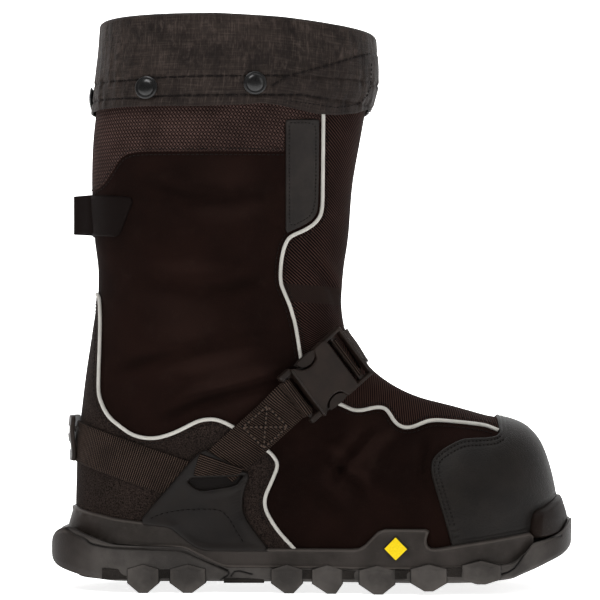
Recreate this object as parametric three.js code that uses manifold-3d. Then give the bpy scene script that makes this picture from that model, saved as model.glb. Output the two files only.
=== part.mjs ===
import * as THREE from 'three';
import { mergeVertices } from 'three/addons/utils/BufferGeometryUtils.js';
import Module from 'manifold-3d';

const wasm = await Module();
wasm.setup();

// Winter overshoe, right foot. Millimetres, +Z up, the toe points to +X and the outer side of the
// foot is at -Y. The overshoe stands on its lugs at z = 0.

// Sizes of the upper
const footLength = 312;
const ballWidth = 114;
const shaftWidth = 121;
const instepHeight = 150;
const collarHeight = 366;
const wall = 2;

// Sizes of the sole
const heelLedge = 17;
const toeLedge = 11;
const soleLength = heelLedge + footLength + toeLedge;
const soleGrow = 5.5;
const soleHeight = 30;
const insoleThickness = 3;
const lugInward = 30;
const lugProud = 1.9;

// Sizes of what is laid over the upper
const clearance = 0.3;
const overlayThickness = 1.2;
const sidewallThickness = 3.4;
const bumperThickness = 8.4;
const cuffThickness = 2.9;
const cuffLining = 1.4;
const cuffLiningDepth = 24;
const webbingThickness = 1.5;
const webbingWidth = 25.4;
const anchorThickness = 3.2;
const badgeThickness = 0.9;
const badgeHalf = 7.8;
const badgePlace = { x: 0.664, z: 0.98 };

// Sizes of the fittings
const buckleLength = 50;
const buckleWidth = 36;
const buckleThickness = 8;
const buckleLift = 0.8;
const prongThickness = 3;
const sliderThickness = 2.6;
const sliderHeight = 29;
const sliderWidth = 33;
const snapDiameter = 14;
const snapHeight = 4;
const snapSunk = 0.4;
const tabHeight = 24;
const tabThickness = 1.4;
const tabReach = 12;

// Mesh density
const stationsPerRow = 1.2;
const backSteps = 5;
const frontSteps = 6;
const soleStations = 26;
const snapSides = 14;

const heelX = heelLedge - soleLength / 2;

// Heights over the whole shoe run on one scale from 0 at the ground to 1 at the collar. Up to the
// instep it follows instepHeight, and above it the rest of collarHeight.
const instepShare = 0.41;
function heightAt(share) {
  if (share < instepShare) {
    return (share / instepShare) * instepHeight;
  }
  return instepHeight + ((share - instepShare) / (1 - instepShare)) * (collarHeight - instepHeight);
}

function shareAt(height) {
  if (height < instepHeight) {
    return (height / instepHeight) * instepShare;
  }
  return instepShare + ((height - instepHeight) / (collarHeight - instepHeight)) * (1 - instepShare);
}

// Rows of a table with their columns named.
function table(columns, rows) {
  return rows.map((row) => Object.fromEntries(columns.map((column, i) => [column, row[i]])));
}

// Sections of the upper, from the collar down the leg, round the heel and out to the toe. Each row
// is a chord in the side view from the back or underside to the front or top. X is a share of
// footLength from the heel, Z is on the height scale. widest is the share of the chord where the
// section is widest, bow and crown are the roundness of its two ends, ridge shifts the front end
// sideways as a share of ballWidth, and flat is 1 where the chord starts on the underside.
const sections = table(
  ['backX', 'backZ', 'frontX', 'frontZ', 'widest', 'bow', 'crown', 'ridge', 'flat'],
  [
    [0.056, 1.027, 0.610, 1.027, 0.50, 2.3, 2.30, 0.000, 0],
    [0.054, 0.956, 0.616, 0.956, 0.50, 2.3, 2.30, 0.000, 0],
    [0.046, 0.888, 0.612, 0.888, 0.50, 2.3, 2.30, 0.000, 0],
    [0.038, 0.833, 0.599, 0.836, 0.50, 2.3, 2.30, 0.000, 0],
    [0.030, 0.716, 0.575, 0.716, 0.50, 2.3, 2.20, 0.000, 0],
    [0.036, 0.628, 0.564, 0.628, 0.50, 2.3, 2.20, 0.000, 0],
    [0.044, 0.560, 0.554, 0.566, 0.50, 2.3, 2.10, 0.000, 0],
    [0.042, 0.505, 0.551, 0.516, 0.49, 2.2, 2.10, 0.000, 0],
    [0.033, 0.451, 0.558, 0.464, 0.48, 2.2, 2.00, 0.000, 0],
    [0.023, 0.388, 0.583, 0.429, 0.45, 2.2, 2.00, 0.000, 0],
    [0.013, 0.309, 0.612, 0.391, 0.42, 2.2, 2.00, 0.002, 0],
    [0.003, 0.224, 0.641, 0.370, 0.38, 2.2, 2.00, 0.005, 0],
    [0.000, 0.137, 0.670, 0.355, 0.36, 2.2, 2.00, 0.009, 0],
    [0.006, 0.022, 0.699, 0.344, 0.34, 2.2, 2.00, 0.014, 1],
    [0.112, 0.022, 0.724, 0.337, 0.33, 2.2, 2.00, 0.019, 1],
    [0.260, 0.022, 0.753, 0.331, 0.32, 2.2, 2.00, 0.025, 1],
    [0.426, 0.022, 0.785, 0.324, 0.32, 2.2, 2.00, 0.032, 1],
    [0.603, 0.022, 0.824, 0.314, 0.33, 2.2, 2.05, 0.042, 1],
    [0.740, 0.022, 0.859, 0.305, 0.33, 2.2, 2.10, 0.052, 1],
    [0.837, 0.027, 0.894, 0.299, 0.34, 2.2, 2.20, 0.060, 1],
    [0.907, 0.038, 0.930, 0.288, 0.36, 2.2, 2.30, 0.065, 1],
    [0.958, 0.052, 0.962, 0.262, 0.40, 2.2, 2.40, 0.069, 1],
    [0.987, 0.063, 0.985, 0.214, 0.45, 2.2, 2.40, 0.070, 1],
    [1.000, 0.071, 1.000, 0.160, 0.50, 2.2, 2.40, 0.070, 1],
  ],
);

// Plan of the foot where the upper meets the sole: at is a share of the length from the heel, the
// half widths to each side are shares of ballWidth.
const plan = [
  { at: 0.00, outer: 0.360, inner: 0.360 },
  { at: 0.17, outer: 0.370, inner: 0.370 },
  { at: 0.30, outer: 0.364, inner: 0.350 },
  { at: 0.43, outer: 0.382, inner: 0.325 },
  { at: 0.55, outer: 0.420, inner: 0.342 },
  { at: 0.65, outer: 0.469, inner: 0.395 },
  { at: 0.73, outer: 0.495, inner: 0.447 },
  { at: 0.81, outer: 0.482, inner: 0.487 },
  { at: 0.89, outer: 0.440, inner: 0.500 },
  { at: 1.00, outer: 0.351, inner: 0.491 },
];
const heelRound = { depth: 0.176, power: 2.2 };
const toeRound = { depth: 0.22, power: 2.3 };
const footSwell = 1.04;

// Half width of the leg as a share of shaftWidth, by the height scale.
const leg = [
  { at: 0.30, half: 0.400 },
  { at: 0.38, half: 0.410 },
  { at: 0.46, half: 0.430 },
  { at: 0.54, half: 0.450 },
  { at: 0.61, half: 0.465 },
  { at: 0.70, half: 0.480 },
  { at: 0.84, half: 0.497 },
  { at: 1.03, half: 0.500 },
];
const ankleBlend = { from: 0.16, to: 0.38 };

// Heights along the sole as shares of soleHeight, by the share of soleLength from the heel: the
// rim of the cup, the underside, and the seat that the upper and the insole stand over.
const soleLines = [
  { at: 0.000, rim: 0.88, under: 0.77, seat: 0.60 },
  { at: 0.005, rim: 1.10, under: 0.63, seat: 0.60 },
  { at: 0.018, rim: 1.27, under: 0.51, seat: 0.60 },
  { at: 0.041, rim: 1.33, under: 0.42, seat: 0.60 },
  { at: 0.074, rim: 1.20, under: 0.33, seat: 0.60 },
  { at: 0.138, rim: 1.00, under: 0.25, seat: 0.60 },
  { at: 0.256, rim: 0.95, under: 0.24, seat: 0.60 },
  { at: 0.294, rim: 0.77, under: 0.24, seat: 0.57 },
  { at: 0.344, rim: 0.56, under: 0.24, seat: 0.50 },
  { at: 0.500, rim: 0.55, under: 0.24, seat: 0.48 },
  { at: 0.676, rim: 0.55, under: 0.24, seat: 0.48 },
  { at: 0.794, rim: 0.57, under: 0.25, seat: 0.51 },
  { at: 0.868, rim: 0.63, under: 0.31, seat: 0.58 },
  { at: 0.897, rim: 0.83, under: 0.42, seat: 0.67 },
  { at: 0.915, rim: 1.03, under: 0.49, seat: 0.75 },
  { at: 0.947, rim: 1.12, under: 0.63, seat: 0.86 },
  { at: 0.970, rim: 1.23, under: 0.73, seat: 0.94 },
  { at: 0.985, rim: 1.37, under: 0.83, seat: 1.00 },
  { at: 0.997, rim: 1.48, under: 0.98, seat: 1.05 },
  { at: 1.000, rim: 1.40, under: 1.20, seat: 1.08 },
];

// Top edge of the sidewall, X as a share of footLength from the heel, Z as a share of soleHeight.
const sidewallTop = [
  { x: -0.040, z: 1.78 },
  { x: -0.010, z: 1.78 },
  { x: 0.020, z: 1.69 },
  { x: 0.062, z: 1.62 },
  { x: 0.096, z: 1.57 },
  { x: 0.144, z: 1.53 },
  { x: 0.204, z: 1.47 },
  { x: 0.216, z: 1.40 },
  { x: 0.232, z: 1.24 },
  { x: 0.249, z: 1.10 },
  { x: 0.276, z: 0.96 },
];
const sidewallPlain = [
  { x: 0.588, z: 0.96 },
];
const sidewallShield = [
  { x: 0.588, z: 0.96 },
  { x: 0.628, z: 1.38 },
  { x: 0.729, z: 1.38 },
  { x: 0.722, z: 0.98 },
];
const sidewallToe = [
  { x: 0.765, z: 1.02 },
  { x: 0.815, z: 1.10 },
  { x: 0.887, z: 1.18 },
  { x: 0.936, z: 1.24 },
];

// Side outlines of the pieces laid over the upper. X is a share of footLength from the heel and Z
// a share of instepHeight.
const bumperOutline = [
  { x: 0.929, z: 0.237 },
  { x: 0.934, z: 0.330 },
  { x: 0.955, z: 0.347 },
  { x: 1.002, z: 0.400 },
  { x: 1.014, z: 0.392 },
  { x: 1.028, z: 0.319 },
  { x: 1.026, z: 0.303 },
  { x: 0.996, z: 0.250 },
  { x: 0.948, z: 0.218 },
];
const toeCapOutline = [
  { x: 0.770, z: 0.100 },
  { x: 0.756, z: 0.317 },
  { x: 0.743, z: 0.413 },
  { x: 0.732, z: 0.493 },
  { x: 0.731, z: 0.551 },
  { x: 0.745, z: 0.587 },
  { x: 0.773, z: 0.624 },
  { x: 0.801, z: 0.647 },
  { x: 0.848, z: 0.650 },
  { x: 0.870, z: 0.659 },
  { x: 0.878, z: 0.677 },
  { x: 0.881, z: 0.780 },
  { x: 1.050, z: 0.780 },
  { x: 1.050, z: 0.100 },
];
const heelCounterOutline = [
  { x: -0.060, z: 1.273 },
  { x: 0.045, z: 1.273 },
  { x: 0.052, z: 1.197 },
  { x: 0.050, z: 1.032 },
  { x: 0.049, z: 0.852 },
  { x: 0.054, z: 0.805 },
  { x: 0.069, z: 0.748 },
  { x: 0.091, z: 0.712 },
  { x: 0.121, z: 0.673 },
  { x: 0.152, z: 0.655 },
  { x: 0.178, z: 0.656 },
  { x: 0.210, z: 0.676 },
  { x: 0.261, z: 0.729 },
  { x: 0.294, z: 0.736 },
  { x: 0.325, z: 0.709 },
  { x: 0.397, z: 0.605 },
  { x: 0.412, z: 0.576 },
  { x: 0.419, z: 0.545 },
  { x: 0.415, z: 0.509 },
  { x: 0.403, z: 0.448 },
  { x: 0.396, z: 0.408 },
  { x: 0.395, z: 0.373 },
  { x: 0.399, z: 0.339 },
  { x: 0.422, z: 0.263 },
  { x: 0.452, z: 0.150 },
  { x: -0.060, z: 0.150 },
];
const anchorOutline = [
  { x: 0.144, z: 0.300 },
  { x: 0.181, z: 0.408 },
  { x: 0.241, z: 0.559 },
  { x: 0.268, z: 0.604 },
  { x: 0.275, z: 0.607 },
  { x: 0.352, z: 0.517 },
  { x: 0.362, z: 0.498 },
  { x: 0.355, z: 0.445 },
  { x: 0.350, z: 0.389 },
  { x: 0.352, z: 0.347 },
  { x: 0.359, z: 0.308 },
  { x: 0.400, z: 0.150 },
  { x: 0.144, z: 0.150 },
];
const anchorSlot = [
  { x: 0.238, z: 0.483 },
  { x: 0.254, z: 0.503 },
  { x: 0.343, z: 0.491 },
  { x: 0.337, z: 0.457 },
  { x: 0.261, z: 0.431 },
];
const heelStrapOutline = [
  { x: -0.060, z: 0.726 },
  { x: 0.004, z: 0.720 },
  { x: 0.044, z: 0.706 },
  { x: 0.084, z: 0.673 },
  { x: 0.132, z: 0.645 },
  { x: 0.184, z: 0.609 },
  { x: 0.237, z: 0.566 },
  { x: 0.183, z: 0.427 },
  { x: 0.159, z: 0.450 },
  { x: 0.118, z: 0.478 },
  { x: 0.064, z: 0.513 },
  { x: 0.000, z: 0.552 },
  { x: -0.060, z: 0.570 },
];

// Fold of the cuff, a little lower at the front: X as a share of footLength from the heel, Z on
// the height scale.
const collarLine = [
  { x: 0.040, z: 0.993 },
  { x: 0.300, z: 0.991 },
  { x: 0.430, z: 0.985 },
  { x: 0.530, z: 0.977 },
  { x: 0.620, z: 0.971 },
];

// Hem of the cuff, with X and Z in the same way.
const cuffHem = [
  { x: -0.100, z: 0.843 },
  { x: 0.090, z: 0.841 },
  { x: 0.264, z: 0.839 },
  { x: 0.358, z: 0.842 },
  { x: 0.387, z: 0.845 },
  { x: 0.419, z: 0.841 },
  { x: 0.458, z: 0.833 },
  { x: 0.496, z: 0.825 },
  { x: 0.533, z: 0.824 },
  { x: 0.570, z: 0.834 },
  { x: 0.606, z: 0.853 },
  { x: 0.700, z: 0.870 },
];

// The strap's line in the side view: where its middle passes under the buckle, and its slope.
const strapLine = { x: 0.522, z: 0.923, slope: THREE.MathUtils.degToRad(40.6) };

// Lugs along each side of the sole. middle and width are along the length as shares of
// soleLength, tip shifts the foot of the lug, lift is how far toe spring raises it.
const lugs = [
  { middle: 0.185, width: 0.060, tip: 0.000, lift: 0.0 },
  { middle: 0.268, width: 0.068, tip: 0.000, lift: 0.0 },
  { middle: 0.453, width: 0.060, tip: 0.004, lift: 0.0 },
  { middle: 0.528, width: 0.058, tip: 0.008, lift: 0.0 },
  { middle: 0.620, width: 0.068, tip: 0.002, lift: 0.0 },
  { middle: 0.715, width: 0.068, tip: 0.000, lift: 2.4 },
  { middle: 0.812, width: 0.074, tip: 0.000, lift: 6.6 },
];
const lugShoulder = 15.8;
const lugPeak = 18.8;
const lugWaist = 8.7;
const lugFoot = 5.5;
const middleLugHalf = 13;

// Places of the snaps on the cuff: X as a share of footLength, Z on the height scale.
const snapPlaces = [
  { name: 'snap_outer_back', x: 0.157, z: 0.872, side: -1 },
  { name: 'snap_outer_front', x: 0.375, z: 0.879, side: -1 },
  { name: 'snap_inner_back', x: 0.157, z: 0.872, side: 1 },
  { name: 'snap_inner_front', x: 0.375, z: 0.879, side: 1 },
];

const backSnapPlace = 0.871;

// A smooth curve through a table's column that never overshoots its rows.
function curveOf(rows, at, column) {
  const x = rows.map(at);
  const y = rows.map((row) => row[column]);
  const count = rows.length;
  const slope = [];
  for (let i = 0; i < count - 1; i++) {
    slope.push((y[i + 1] - y[i]) / (x[i + 1] - x[i]));
  }
  const tangent = [slope[0]];
  for (let i = 1; i < count - 1; i++) {
    const sameWay = slope[i - 1] * slope[i] > 0;
    tangent.push(sameWay ? (2 * slope[i - 1] * slope[i]) / (slope[i - 1] + slope[i]) : 0);
  }
  tangent.push(slope[count - 2]);
  return (value) => {
    const clamped = Math.min(Math.max(value, x[0]), x[count - 1]);
    let i = 0;
    while (i < count - 2 && clamped > x[i + 1]) {
      i++;
    }
    const h = x[i + 1] - x[i];
    const t = (clamped - x[i]) / h;
    const t2 = t * t;
    const t3 = t2 * t;
    return (2 * t3 - 3 * t2 + 1) * y[i] + (t3 - 2 * t2 + t) * h * tangent[i]
      + (3 * t2 - 2 * t3) * y[i + 1] + (t3 - t2) * h * tangent[i + 1];
  };
}

const byAt = (row) => row.at;
const byIndex = (row) => sections.indexOf(row);
const planOuter = curveOf(plan, byAt, 'outer');
const planInner = curveOf(plan, byAt, 'inner');
const legHalf = curveOf(leg, byAt, 'half');
const sectionColumn = Object.fromEntries(
  Object.keys(sections[0]).map((column) => [column, curveOf(sections, byIndex, column)]),
);

// Rounding of the plan's two ends, 0 at the tip and 1 past the rounded stretch.
function endFactor(share) {
  const heel = Math.max(1 - share / heelRound.depth, 0);
  const toe = Math.max(1 - (1 - share) / toeRound.depth, 0);
  const heelFactor = Math.max(1 - heel ** heelRound.power, 0) ** (1 / heelRound.power);
  const toeFactor = Math.max(1 - toe ** toeRound.power, 0) ** (1 / toeRound.power);
  return Math.min(heelFactor, toeFactor);
}

// Centre line and half width of the foot's plan at a share of its length.
function planAt(share) {
  const inside = Math.min(Math.max(share, 0), 1);
  const outer = planOuter(inside) * ballWidth;
  const inner = planInner(inside) * ballWidth;
  return { centre: (inner - outer) / 2, half: (inner + outer) / 2, end: endFactor(inside) };
}

// Y of the upper's widest place at a point of the side view; side is -1 outside, 1 inside.
function widestY(x, z, side) {
  const foot = planAt((x - heelX) / footLength);
  const footY = foot.centre + side * foot.half * foot.end * footSwell;
  const legY = side * legHalf(shareAt(z)) * shaftWidth;
  const blend = THREE.MathUtils.smoothstep(shareAt(z), ankleBlend.from, ankleBlend.to);
  return THREE.MathUtils.lerp(footY, legY, blend);
}

// One section of the upper as points from the back or underside to the front, on one side.
function sectionPoints(index, side) {
  const row = {};
  for (const column of Object.keys(sectionColumn)) {
    row[column] = sectionColumn[column](index);
  }
  const back = new THREE.Vector2(heelX + row.backX * footLength, heightAt(row.backZ));
  const front = new THREE.Vector2(heelX + row.frontX * footLength, heightAt(row.frontZ));
  const place = (share) => back.clone().lerp(front, share);
  const wide = place(row.widest);
  const wideY = widestY(wide.x, wide.y, side);
  const under = planAt(row.backX);
  const underCentre = under.centre * row.flat;
  const underY = underCentre + side * under.half * under.end * row.flat;
  const ridgeY = row.ridge * ballWidth;
  const span = wideY - underCentre;
  const ratio = Math.abs(span) > 1e-6 ? (underY - underCentre) / span : 0;
  const reach = Math.max(1 - Math.min(Math.max(ratio, 0), 1) ** row.bow, 0) ** (1 / row.bow);
  const lastAngle = Math.asin(Math.min(reach ** (row.bow / 2), 1));
  const points = [];
  for (let i = backSteps; i > 0; i--) {
    const step = i / backSteps;
    const along = lastAngle > 1e-4
      ? (Math.sin(lastAngle * step) / Math.sin(lastAngle)) ** (2 / row.bow)
      : step ** (2 / row.bow);
    const point = place(row.widest * (1 - along));
    const roundY = underCentre + span * Math.cos(lastAngle * step) ** (2 / row.bow);
    const splayY = wideY + (underY - wideY) * along * along;
    const innerY = ratio > 1 ? splayY : roundY;
    points.push([point.x, i === backSteps ? underY : innerY, point.y]);
  }
  for (let i = 0; i <= frontSteps; i++) {
    const angle = (Math.PI / 2) * (i / frontSteps);
    const share = row.widest + (1 - row.widest) * Math.sin(angle) ** (2 / row.crown);
    const out = i === frontSteps ? 0 : Math.cos(angle) ** (2 / row.crown);
    const point = place(share);
    points.push([point.x, ridgeY + (wideY - ridgeY) * out, point.y]);
  }
  return points;
}

// Shared-vertex mesh from triangles given as corner points; flat triangles are dropped.
function weld(triangles) {
  const keys = new Map();
  const vertices = [];
  const faces = [];
  const indexOf = (point) => {
    const key = point.map((value) => Math.round(value * 1e4)).join(',');
    if (!keys.has(key)) {
      keys.set(key, vertices.length);
      vertices.push(new THREE.Vector3(...point));
    }
    return keys.get(key);
  };
  for (const triangle of triangles) {
    const [a, b, c] = triangle.corners.map(indexOf);
    if (a !== b && b !== c && c !== a) {
      faces.push({ corners: [a, b, c], cap: triangle.cap });
    }
  }
  return { vertices, faces };
}

function quad(a, b, c, d, cap) {
  return [{ corners: [a, b, c], cap }, { corners: [a, c, d], cap }];
}

// The closed form of the upper's outside, as a welded mesh with a normal at each vertex.
function uprightForm() {
  const stations = Math.round((sections.length - 1) * stationsPerRow);
  const outer = [];
  const inner = [];
  for (let i = 0; i <= stations; i++) {
    const index = ((sections.length - 1) * i) / stations;
    outer.push(sectionPoints(index, -1));
    inner.push(sectionPoints(index, 1));
  }
  const steps = backSteps + frontSteps;
  const triangles = [];
  for (let i = 0; i < stations; i++) {
    for (let j = 0; j < steps; j++) {
      const [a, b] = [outer[i], outer[i + 1]];
      const [c, d] = [inner[i], inner[i + 1]];
      triangles.push(...quad(a[j], b[j], b[j + 1], a[j + 1], false));
      triangles.push(...quad(c[j], c[j + 1], d[j + 1], d[j], false));
    }
    triangles.push(...quad(outer[i][0], inner[i][0], inner[i + 1][0], outer[i + 1][0], true));
  }
  for (let j = 0; j < steps; j++) {
    triangles.push(...quad(outer[0][j], outer[0][j + 1], inner[0][j + 1], inner[0][j], true));
  }
  const mesh = weld(triangles);
  mesh.normals = mesh.vertices.map(() => new THREE.Vector3());
  for (const face of mesh.faces.filter((entry) => !entry.cap)) {
    const [a, b, c] = face.corners.map((index) => mesh.vertices[index]);
    const normal = b.clone().sub(a).cross(c.clone().sub(a));
    face.corners.forEach((index) => mesh.normals[index].add(normal));
  }
  mesh.normals.forEach((normal) => normal.normalize());
  return mesh;
}

const upperMesh = uprightForm();

function manifoldOf(vertices, faces) {
  const vertProperties = new Float32Array(vertices.flatMap((vertex) => [vertex.x, vertex.y, vertex.z]));
  const triVerts = new Uint32Array(faces.flat());
  return new wasm.Manifold(new wasm.Mesh({ numProp: 3, vertProperties, triVerts }));
}

// The upper's outside moved along its normals, positive outwards.
const formCache = new Map();
function form(offset) {
  if (!formCache.has(offset)) {
    const moved = upperMesh.vertices.map((vertex, i) =>
      vertex.clone().addScaledVector(upperMesh.normals[i], offset));
    formCache.set(offset, manifoldOf(moved, upperMesh.faces.map((face) => face.corners)));
  }
  return formCache.get(offset);
}

// The layer between two such forms.
function layer(from, to) {
  return form(to).subtract(form(from));
}

function solidOf(geometry) {
  const bare = geometry.index ? geometry.toNonIndexed() : geometry.clone();
  bare.deleteAttribute('normal');
  bare.deleteAttribute('uv');
  const merged = mergeVertices(bare, 1e-4);
  const vertProperties = new Float32Array(merged.attributes.position.array);
  const triVerts = new Uint32Array(merged.index.array);
  return new wasm.Manifold(new wasm.Mesh({ numProp: 3, vertProperties, triVerts }));
}

// A side view outline in millimetres, [x, z] pairs, carried across Y.
const reachY = 130;
function slab(outline, fromY = -reachY, toY = reachY) {
  const shape = new THREE.Shape(outline.map(([x, z]) => new THREE.Vector2(x, z)));
  const geometry = new THREE.ExtrudeGeometry(shape, { depth: toY - fromY, bevelEnabled: false });
  geometry.rotateX(Math.PI / 2);
  geometry.translate(0, toY, 0);
  return solidOf(geometry);
}

const footX = (share) => heelX + share * footLength;
const soleX = (share) => (share - 0.5) * soleLength;
const overFoot = (rows, height) => rows.map((row) => [footX(row.x), row.z * height]);

// The side outline with each edge moved outwards by a gap.
function widened(outline, gap) {
  const area = outline.reduce((sum, [x, z], i) => {
    const [nextX, nextZ] = outline[(i + 1) % outline.length];
    return sum + x * nextZ - nextX * z;
  }, 0);
  const turn = area > 0 ? 1 : -1;
  return outline.map(([x, z], i) => {
    const before = outline[(i + outline.length - 1) % outline.length];
    const after = outline[(i + 1) % outline.length];
    const first = new THREE.Vector2(z - before[1], before[0] - x).normalize();
    const second = new THREE.Vector2(after[1] - z, x - after[0]).normalize();
    const out = first.add(second).normalize().multiplyScalar(gap * turn);
    return [x + out.x, z + out.y];
  });
}

// Everything below or above a line that runs along the shoe, carried on level past its ends.
const far = 400;
function sideOf(line, height) {
  const first = line[0];
  const last = line[line.length - 1];
  return slab([[-far, first[1]], ...line, [far, last[1]], [far, height], [-far, height]]);
}

const below = (line) => sideOf(line, -far);
const above = (line) => sideOf(line, 2 * far);
const belowHeight = (height) => below([[0, height]]);

// Shares of the sole's length, closest together at its two ends
const soleShares = Array.from({ length: soleStations + 1 }, (_, i) =>
  0.5 - 0.5 * Math.cos((Math.PI * i) / soleStations));

function soleLine(column, gap) {
  const curve = curveOf(soleLines, byAt, column);
  return soleShares.map((share) => [soleX(share), curve(share) * soleHeight + gap]);
}

// Upper
const overLeg = (rows) => rows.map((row) => [footX(row.x), heightAt(row.z)]);
const collarAt = (lift) => above(overLeg(collarLine).map(([x, z]) => [x, z + lift]));

function makeUpper() {
  return layer(-wall, 0).subtract(collarAt(0)).subtract(below(soleLine('seat', clearance)));
}

// Folded storm cuff: an outer band, a turn over the collar and a short lining
function makeCuff() {
  const outside = clearance + cuffThickness;
  const inside = -wall - clearance - cuffLining;
  const tooHigh = collarAt(clearance + cuffThickness);
  const hem = below(overLeg(cuffHem));
  const band = layer(inside, outside).subtract(tooHigh).subtract(hem);
  const room = layer(-wall - clearance, clearance).subtract(collarAt(clearance));
  const liningEnd = collarHeight - cuffLiningDepth;
  const belowLining = form(0).intersect(belowHeight(liningEnd));
  return band.subtract(room).subtract(belowLining);
}

function makeInsole() {
  const top = above(soleLine('seat', clearance + insoleThickness));
  return form(-wall - clearance).subtract(top).subtract(below(soleLine('seat', clearance)));
}

// Sole body: sections across the length with a slightly tucked rim and underside
const soleTuck = { rim: 1.2, under: 2.5 };
function soleBody() {
  const rim = curveOf(soleLines, byAt, 'rim');
  const under = curveOf(soleLines, byAt, 'under');
  const rings = [];
  for (const share of soleShares) {
    const foot = planAt(share);
    const half = (foot.half + soleGrow) * foot.end;
    const top = rim(share) * soleHeight;
    const bottom = under(share) * soleHeight;
    const ring = (side) => [
      [soleX(share), foot.centre + side * (half - soleTuck.under * foot.end), bottom],
      [soleX(share), foot.centre + side * half, (top + bottom) / 2],
      [soleX(share), foot.centre + side * (half - soleTuck.rim * foot.end), top],
    ];
    rings.push([...ring(-1), ...ring(1).reverse()]);
  }
  const triangles = [];
  for (let i = 0; i < soleStations; i++) {
    const a = rings[i];
    const b = rings[i + 1];
    for (let j = 0; j < a.length; j++) {
      const k = (j + 1) % a.length;
      triangles.push(...quad(a[j], b[j], b[k], a[k], false));
    }
  }
  const mesh = weld(triangles);
  return manifoldOf(mesh.vertices, mesh.faces.map((face) => face.corners));
}

function lugOutline(row) {
  const middle = soleX(row.middle);
  const half = (row.width * soleLength) / 2;
  const foot = middle + row.tip * soleLength;
  const lift = row.lift;
  return [
    [foot - lugFoot / 2, lift],
    [foot + lugFoot / 2, lift],
    [middle + half, lugWaist + lift / 2],
    [middle + half, lugShoulder + lift / 2],
    [middle, lugPeak + lift / 2],
    [middle - half, lugShoulder + lift / 2],
    [middle - half, lugWaist + lift / 2],
  ];
}

// Outsole: the cup, its side lugs and the middle lugs that it rests on
function makeOutsole() {
  let solid = soleBody();
  for (const row of lugs) {
    const foot = planAt(row.middle);
    const half = (foot.half + soleGrow) * foot.end + lugProud;
    const outline = lugOutline(row);
    solid = solid.add(slab(outline, foot.centre - half, foot.centre - half + lugInward));
    solid = solid.add(slab(outline, foot.centre + half - lugInward, foot.centre + half));
    solid = solid.add(slab(outline, foot.centre - middleLugHalf, foot.centre + middleLugHalf));
  }
  const cup = form(clearance).subtract(below(soleLine('seat', 0)));
  const sidewallRoom = form(2 * clearance + sidewallThickness).subtract(below(soleLine('rim', 0)));
  return solid.subtract(cup).subtract(sidewallRoom);
}

// Sidewall: a band round the lower edge of the upper, with the raised shield outside
function sidewallRegion(shieldRows, gap, fromY, toY) {
  const top = [...sidewallTop, ...shieldRows, ...sidewallToe];
  const edge = overFoot(top, soleHeight);
  const [back, front] = [edge[0][0], edge[edge.length - 1][0]];
  return slab(widened([...edge, [front, -far], [back, -far]], gap), fromY, toY);
}

function sidewallBlock(gap) {
  return sidewallRegion(sidewallShield, gap, -reachY, 0)
    .add(sidewallRegion(sidewallPlain, gap, 0, reachY));
}

const bumperSide = overFoot(bumperOutline, instepHeight);
const bumperTopRows = 6;
const bumperAndBelow = [
  ...bumperSide.slice(0, bumperTopRows),
  [bumperSide[bumperTopRows - 1][0], -far],
  [bumperSide[0][0], -far],
];

function makeSidewall() {
  return layer(clearance, clearance + sidewallThickness)
    .intersect(sidewallBlock(0))
    .subtract(slab(widened(bumperSide, clearance)))
    .subtract(below(soleLine('rim', clearance)));
}

function makeToeBumper() {
  return layer(clearance, clearance + bumperThickness)
    .intersect(slab(bumperSide))
    .subtract(below(soleLine('rim', clearance)));
}

function overlay(outline) {
  return layer(clearance, clearance + overlayThickness)
    .intersect(slab(overFoot(outline, instepHeight)))
    .subtract(sidewallBlock(clearance))
    .subtract(slab(widened(bumperAndBelow, clearance)))
    .subtract(below(soleLine('rim', clearance)));
}

// Strap hardware lies over the overlays
const overOverlay = clearance + overlayThickness + clearance;

function makeAnchor(fromY, toY) {
  const outline = overFoot(anchorOutline, instepHeight);
  return layer(overOverlay, overOverlay + anchorThickness)
    .intersect(slab(outline, fromY, toY))
    .subtract(slab(overFoot(anchorSlot, instepHeight)))
    .subtract(sidewallBlock(clearance));
}

function makeHeelStrap() {
  const anchors = slab(widened(overFoot(anchorOutline, instepHeight), clearance));
  return layer(overOverlay, overOverlay + webbingThickness)
    .intersect(slab(overFoot(heelStrapOutline, instepHeight)))
    .subtract(anchors);
}

// A stretch of the strap's line in the side view, measured from under the buckle
function strapBand(from, to) {
  const along = new THREE.Vector2(Math.cos(strapLine.slope), Math.sin(strapLine.slope));
  const across = new THREE.Vector2(-along.y, along.x);
  const middle = new THREE.Vector2(footX(strapLine.x), strapLine.z * instepHeight);
  const corner = (distance, side) => {
    const point = middle.clone().addScaledVector(along, distance);
    return point.addScaledVector(across, (side * webbingWidth) / 2).toArray();
  };
  return [corner(from, -1), corner(to, -1), corner(to, 1), corner(from, 1)];
}

const strapReach = 120;
const strapStart = 0.262;

function strapLayer() {
  const anchors = slab(widened(overFoot(anchorOutline, instepHeight), clearance));
  const startX = footX(strapStart);
  const heel = slab([[-far, -far], [startX, -far], [startX, far], [-far, far]]);
  return layer(overOverlay, overOverlay + webbingThickness).subtract(anchors).subtract(heel);
}

function makeFrontStrap() {
  const end = -buckleLength / 2 - clearance;
  return strapLayer().intersect(slab(strapBand(-strapReach, end), -reachY, 0));
}

function makeInstepStrap() {
  const start = buckleLength / 2 + clearance;
  const inner = slab(strapBand(-strapReach, strapReach), 0, reachY);
  const outer = slab(strapBand(start, strapReach), -reachY, 0);
  return strapLayer().intersect(inner.add(outer));
}

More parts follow.
